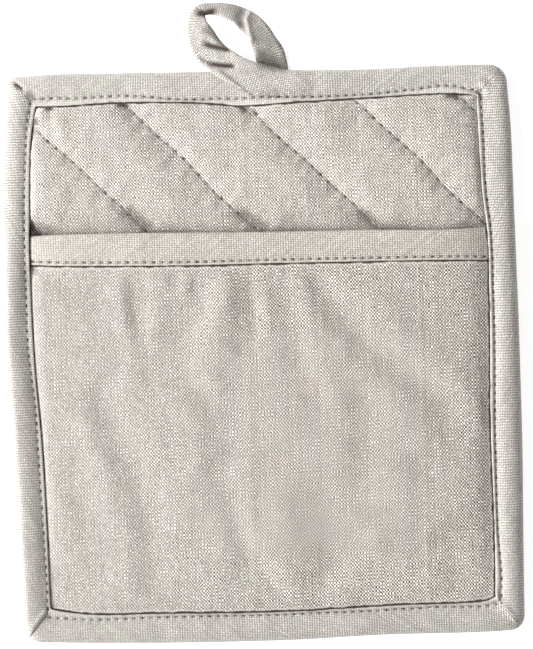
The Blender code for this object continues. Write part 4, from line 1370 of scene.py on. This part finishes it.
@dataclass
class HangingLoop(Piece):
    """The binding's folded tail, turned back on itself with its end under the top edge."""

    steps: int = 10
    tongue_top: float = 7.65  # the tongue's upper face before it is laid on the edge
    settled: tuple[tuple[float, float], ...] = ((14, 0.25), (18, 0.2), (29, -0.6))  # place, how far proud
    turns: tuple[Turn, ...] = (
        Turn(29.0, 106.4, 6.9, 0, 12.6, 1.3), Turn(20.0, 106.3, 7.0, 0, 12.6, 1.3),
        Turn(13.2, 106.4, 7.0, 0, 12.5, 1.3), Turn(6.0, 107.9, 7.0, 0, 12.5, 1.3),
        Turn(-1.5, 109.8, 7.0, 0, 12.4, 1.4), Turn(-7.7, 112.6, 7.0, 0, 11.8, 1.6),
        Turn(-13.5, 116.3, 6.6, 0, 11.8, 1.8), Turn(-18.8, 121.0, 5.8, -3, 12.3, 1.8),
        Turn(-21.8, 127.0, 5.2, -8, 11.2, 1.8), Turn(-23.3, 132.5, 5.1, -12, 8.2, 1.8),
        Turn(-22.0, 137.0, 5.2, -14, 5.8, 1.8), Turn(-17.8, 137.9, 5.2, -18, 5.0, 1.8),
        Turn(-12.7, 137.1, 5.2, -18, 6.4, 1.8), Turn(-7.0, 134.9, 4.9, -26, 8.6, 1.8),
        Turn(-2.2, 131.2, 4.8, -14, 9.8, 1.8), Turn(1.1, 127.4, 4.7, -11, 10.2, 1.8),
        Turn(3.2, 123.4, 3.9, -10, 11.0, 1.8), Turn(5.2, 119.4, 2.3, -6, 12.0, 1.6),
        Turn(6.4, 113.6, 0.8, 0, 12.2, 1.6), Turn(7.0, 108.6, 0.8, 0, 12.0, 1.6),
        Turn(7.2, 104.2, 0.8, 0, 12.0, 1.6),
    )

    creases: tuple[Crease, ...] = (
        Crease(((-1.5, 137.5), (-3.5, 133.5), (-2.8, 129.5), (-1.4, 124.0)), 1.1, rise=0.9, fade=3.0),
        Crease(((-4.6, 137.5), (-6.4, 134.0), (-5.4, 129.5)), 2.4, rise=-0.6, painted_shade=0.38, fade=3.0),
        Crease(((-20.6, 124.0), (-17.2, 122.7), (-10.2, 120.9)), 1.5, rise=-1.1, painted_shade=0.95, fade=4.0),
        Crease(((-23.0, 118.6), (-20.6, 116.9), (-17.6, 115.8)), 0.8, rise=-0.4, painted_shade=0.6, fade=3.0),
        Crease(((-18.6, 115.9), (-14.2, 115.0), (-8.8, 114.4)), 1.4, rise=-1.0, painted_shade=0.98, fade=3.0),
        Crease(((-19.6, 130.4), (-14.6, 125.6), (-9.8, 121.5)), 2.4, rise=-0.5, painted_shade=0.66, fade=3.0),
        Crease(((-23.4, 136.6), (-20.2, 135.8), (-15.4, 136.8)), 2.0, rise=-0.8, painted_shade=0.98, fade=4.0),
        Crease(((-15.6, 113.6), (-9.4, 108.7), (-5.4, 105.2), (-2.2, 102.8)), 0.8, painted_shade=0.5, fade=3.0),
        Crease(((1.5, 117.5), (12.5, 114.5)), 5.0, painted_shade=0.46, fade=3.0),
        Crease(((3.0, 133.0), (8.0, 126.5), (12.0, 118.0)), 1.0, rise=-0.3, painted_shade=0.4, fade=3.0),
    )

    def lay_on_edge(self, at: Array) -> Array:
        """Bend the tongue's root over the top edge, and sink its end into it.

        Args:
            at: the loop's vertices.

        Returns:
            The same vertices, moved up or down.
        """
        edge = EdgeTape()
        for index in np.nonzero((at[:, 0] > -2.0) & (at[:, 2] > 6.0))[0]:
            x, y, z = at[index].tolist()
            outer, width = float(TOP.edge(x)), float(TOP.edge(x) - TOP.seam(x))
            body = width - float(TOP.inset(x))
            layers = edge.layers(2, max(x, 15.0))
            share = min(max((outer - y) / body, 0.0), 1.0)
            level = edge.dome(share, edge.crest(2, x), edge.plump(2, x), layers)
            level += float(np.interp(x, *zip(*self.settled)))
            at[index, 2] = mix(z, level + (z - self.tongue_top) * 0.7, float(ease((x + 2.0) / 13.0)))
        return at

    def sections(self) -> list[Array]:
        """The points round every cross-section, from the tongue to the hidden end."""
        places = range(len(self.turns))
        fine = np.linspace(0, len(self.turns) - 1, (len(self.turns) - 1) * self.steps + 1)
        columns = [curve(places, column, fine) for column in zip(*self.turns)]
        middles = np.column_stack(columns[:3])
        rings = []
        for index in range(len(fine)):
            _, _, _, roll, width, thick = (float(column[index]) for column in columns)
            ahead, behind = middles[min(index + 1, len(fine) - 1)], middles[max(index - 1, 0)]
            travel = Vector(ahead - behind).normalized()
            outward = Vector((-travel.y, travel.x, 0)).normalized()
            flat = outward * math.cos(math.radians(roll)) + Vector((0, 0, 1)) * math.sin(math.radians(roll))
            up = flat.cross(travel) * -1.0
            rings.append(self.band(Vector(middles[index]), flat, up, width / 2, thick / 2))
        return rings

    @staticmethod
    def band(middle: Vector, flat: Vector, up: Vector, half: float, thin: float) -> Array:
        """Points round the folded tape: a rounded fold on one edge, two layers on the other."""
        upper = [(wide, thin * (1.0 + 0.06 * math.cos(wide * 1.3)))
                 for wide in np.linspace(half - 0.9, 1.3 - half, 15).tolist()]
        lower = [(wide, -thin) for wide in np.linspace(1.3 - half, half - 0.9, 5).tolist()]
        outline = [
            (half - 0.25, -thin * 0.72), (half, -thin * 0.25), (half, thin * 0.25),
            (half - 0.25, thin * 0.75), *upper, (0.45 - half, thin * 0.85), (-half, thin * 0.45),
            (0.15 - half, 0.0), (-half, -thin * 0.45), (0.45 - half, -thin * 0.85), *lower,
        ]
        return np.array([tuple(middle + flat * wide + up * high) for wide, high in outline])

    def build(self) -> bpy.types.Object:
        """Model the loop, dress it and let it replace the plain one."""
        rings = self.sections()
        mesh = bmesh.new()
        Workroom.loft(mesh, rings, closed=False)
        section, point = Workroom.numbers(mesh, "section"), Workroom.numbers(mesh, "point")
        at = self.lay_on_edge(Workroom.places(mesh))
        x, y = at[:, 0], at[:, 1]
        at[:, 2] += lift_all(self.creases, x, y)
        Workroom.move(mesh, at)
        walked, girth = walk(np.array([ring.mean(axis=0) for ring in rings])), walk(rings[0])
        start = self.turns[0].x
        Workroom.lay_uv(mesh, "Weave", np.column_stack((start - walked[section], girth[point])))
        away = np.where(x > -1.5, y - TOP.seam(x) - TOP.inset(x), 90.0)
        Workroom.lay_uv(mesh, "Seam", np.column_stack((x / EDGE_STITCH, away)))
        # Painted shade in the loop's creases, in its hollow and on faces turned from the light, and the
        # painted shadow of its tongue's edge.
        Workroom.mark(mesh, "painted_shade", painted_shade_all(self.creases, x, y))
        Workroom.mark(mesh, "gap", np.full(len(point), 4.0))
        finish = ChambrayTape("loop_chambray", pitch=(0.90, 0.76), wobble=1.2, evened_left=0.0)
        piece = Workroom.hang(mesh, "loop_tape", finish.build())
        Workroom.smooth(piece)
        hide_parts("hanging_loop")
        return piece


class Mark(NamedTuple):
    """One stitch: its middle and the way it runs."""

    middle: Vector
    run: Vector


@dataclass
class Sewing:
    """The threads that lie on the cloth from needle hole to needle hole."""

    pitch: float = EDGE_STITCH
    mouth_pitch: float = MOUTH_STITCH
    mouth_ends: float = 89.0  # how far the mouth's stitches run either way
    cover: float = 0.62  # share of the pitch that a thread lies bare
    wide: float = 0.2
    high: float = 0.13

    def build(self) -> list[bpy.types.Object]:
        """Sew every seam and return the threads of each as a piece."""
        thread = SewingThread().build()
        found = []
        for name, slot, pitch, marks in (
            ("edge_stitches", "edge_tape", self.pitch, self.edge()),
            ("mouth_stitches", "mouth_tape", self.mouth_pitch, self.mouth()),
            ("quilt_stitches", "pad_cloth", Quilting().stitch, self.quilt()),
        ):
            mesh = bmesh.new()
            for mark in marks:
                self.lay(mesh, mark, pitch)
            piece = Workroom.hang(mesh, name, thread)
            found.append(piece)
        return found

    def lay(self, mesh: bmesh.types.BMesh, mark: Mark, pitch: float) -> None:
        """Lay one thread, a grain rounded at both ends."""
        turn = mark.run.to_track_quat("X", "Z").to_matrix().to_4x4()
        size = Matrix.Diagonal((pitch * self.cover / 2, self.wide, self.high, 1.0))
        bmesh.ops.create_uvsphere(mesh, u_segments=6, v_segments=4, radius=1.0,
                                  matrix=Matrix.Translation(mark.middle) @ turn @ size)

    def edge(self) -> list[Mark]:
        """The stitches that hold the edge binding, on its face and on its back."""
        tape, marks = EdgeTape(), []
        for index, side in enumerate(SIDES):
            axis = side.axis.value
            places = sorted((CORNERS[index][2 + axis], CORNERS[(index + 1) % len(CORNERS)][2 + axis]))
            for number in range(math.ceil(places[0] / self.pitch), math.floor(places[1] / self.pitch) + 1):
                at = number * self.pitch
                spots = [side.place(one, float(side.seam(one) + side.inset(one)))
                         for one in (at - 1, at + 1)]
                middle, run = (spots[0] + spots[1]) / 2, spots[1] - spots[0]
                layers = tape.layers(index, at)
                for height in (layers.roof + tape.groove + 0.05, layers.base + 0.16):
                    marks.append(Mark(middle.to_3d() + Vector((0, 0, height)), run.to_3d()))
        return marks

    def mouth(self) -> list[Mark]:
        """The stitches along the lower edge of the mouth tape."""
        tape, marks = MouthTape(), []
        last = math.floor(self.mouth_ends / self.mouth_pitch)
        for number in range(-last, last + 1):
            at = number * self.mouth_pitch
            spots = [Vector(tape.section(one)[tape.sewn].tolist()) for one in (at - 1, at + 1)]
            marks.append(Mark((spots[0] + spots[1]) / 2 + Vector((0, 0, 0.05)), spots[1] - spots[0]))
        return marks

    def quilt(self) -> list[Mark]:
        """The stitches of the slanting lines, on the bare part of the face and all over the back."""
        pad, marks = QuiltedPad(), []
        for line in pad.quilting.places:
            along = np.arange(-40, 41) * pad.quilting.stitch
            across = line - pad.quilting.waver(along)
            x, y = (along + across) / math.sqrt(2), (across - along) / math.sqrt(2)
            kept = inside(x, y) > 1.6
            x, y = x[kept], y[kept]
            bare = y > MOUTH.top(x) + 1.2
            run = Vector((1, -1, 0))
            for places, heights in (
                ((x[bare], y[bare]), pad.top(x, y)[bare] + 0.04), ((x, y), pad.foot(x, y) - 0.04),
            ):
                marks += [Mark(Vector(spot), run) for spot in zip(*places, heights)]
        return marks


@dataclass
class Studio:
    """A pale floor, soft light from the left and a camera straight above."""

    floor: float = 6.0
    far: float = 1.0
    sensor: float = 36.0
    view_width: float = 0.2596  # what the long side of the picture takes in
    tilt: float = -1.7
    aim: tuple[float, float] = (0.001374, -0.001617)
    key_watts: float = 200.0
    key_size: float = 1.43
    key_from: tuple[float, float, float] = (-2.5, 0.13, 1.275)
    sky: float = 0.46
    glow: float = 0.57  # makes the floor as pale as the photograph's ground

    def build(self) -> None:
        """Set up the floor, the lights and the camera."""
        self.lay_floor()
        self.light()
        self.place_camera()

    def lay_floor(self) -> None:
        """Lay the floor."""
        mesh = bmesh.new()
        bmesh.ops.create_grid(mesh, x_segments=8, y_segments=8, size=self.floor)
        data = bpy.data.meshes.new("floor")
        mesh.to_mesh(data)
        mesh.free()
        material = bpy.data.materials.new("floor_paint")
        graph = Graph(material)
        graph.settle({
            "Base Color": (0.93, 0.93, 0.93, 1.0), "Roughness": 0.9, "Specular IOR Level": 0.1,
            "Emission Color": (1.0, 1.0, 1.0, 1.0), "Emission Strength": self.glow,
        })
        data.materials.append(material)
        floor = bpy.data.objects.new("floor", data)
        bpy.context.scene.collection.objects.link(floor)

    def light(self) -> None:
        """Hang the key light and fill the room with soft light."""
        lamp = bpy.data.lights.new("window", "AREA")
        lamp.energy, lamp.size = self.key_watts, self.key_size
        window = bpy.data.objects.new("window", lamp)
        place = Vector(self.key_from)
        aimed = (-place).to_track_quat("-Z", "Y").to_matrix().to_4x4()
        window.matrix_world = Matrix.Translation(place) @ aimed
        bpy.context.scene.collection.objects.link(window)
        world = bpy.data.worlds.new("room")
        bpy.context.scene.world = world
        world.use_nodes = True
        world.node_tree.nodes["Background"].inputs["Color"].default_value = (1.0, 1.0, 1.0, 1.0)
        world.node_tree.nodes["Background"].inputs["Strength"].default_value = self.sky
        bpy.context.scene.view_settings.view_transform = "Standard"

    def place_camera(self) -> None:
        """Set the camera where the photograph was taken from."""
        lens = bpy.data.cameras.new("camera")
        lens.sensor_width = self.sensor
        lens.lens = self.sensor * self.far / self.view_width
        camera = bpy.data.objects.new("camera", lens)
        camera.location = (*self.aim, self.far)
        camera.rotation_euler = (0.0, 0.0, math.radians(self.tilt))
        bpy.context.scene.collection.objects.link(camera)
        bpy.context.scene.camera = camera


def report(piece: bpy.types.Object) -> None:
    """Say that a piece is finished."""
    LOG.info("%s: %d faces", piece.name, len(piece.data.polygons))


def main() -> None:
    """Sew the pot holder piece by piece and set it in its studio."""
    logging.basicConfig(level=logging.INFO, format="%(message)s")
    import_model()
    for kind in (QuiltedPad, PocketPanel, MouthTape, EdgeTape, HangingLoop):
        report(kind().build())
    for piece in Sewing().build():
        report(piece)
    Studio().build()


if __name__ == "__main__":
    main()
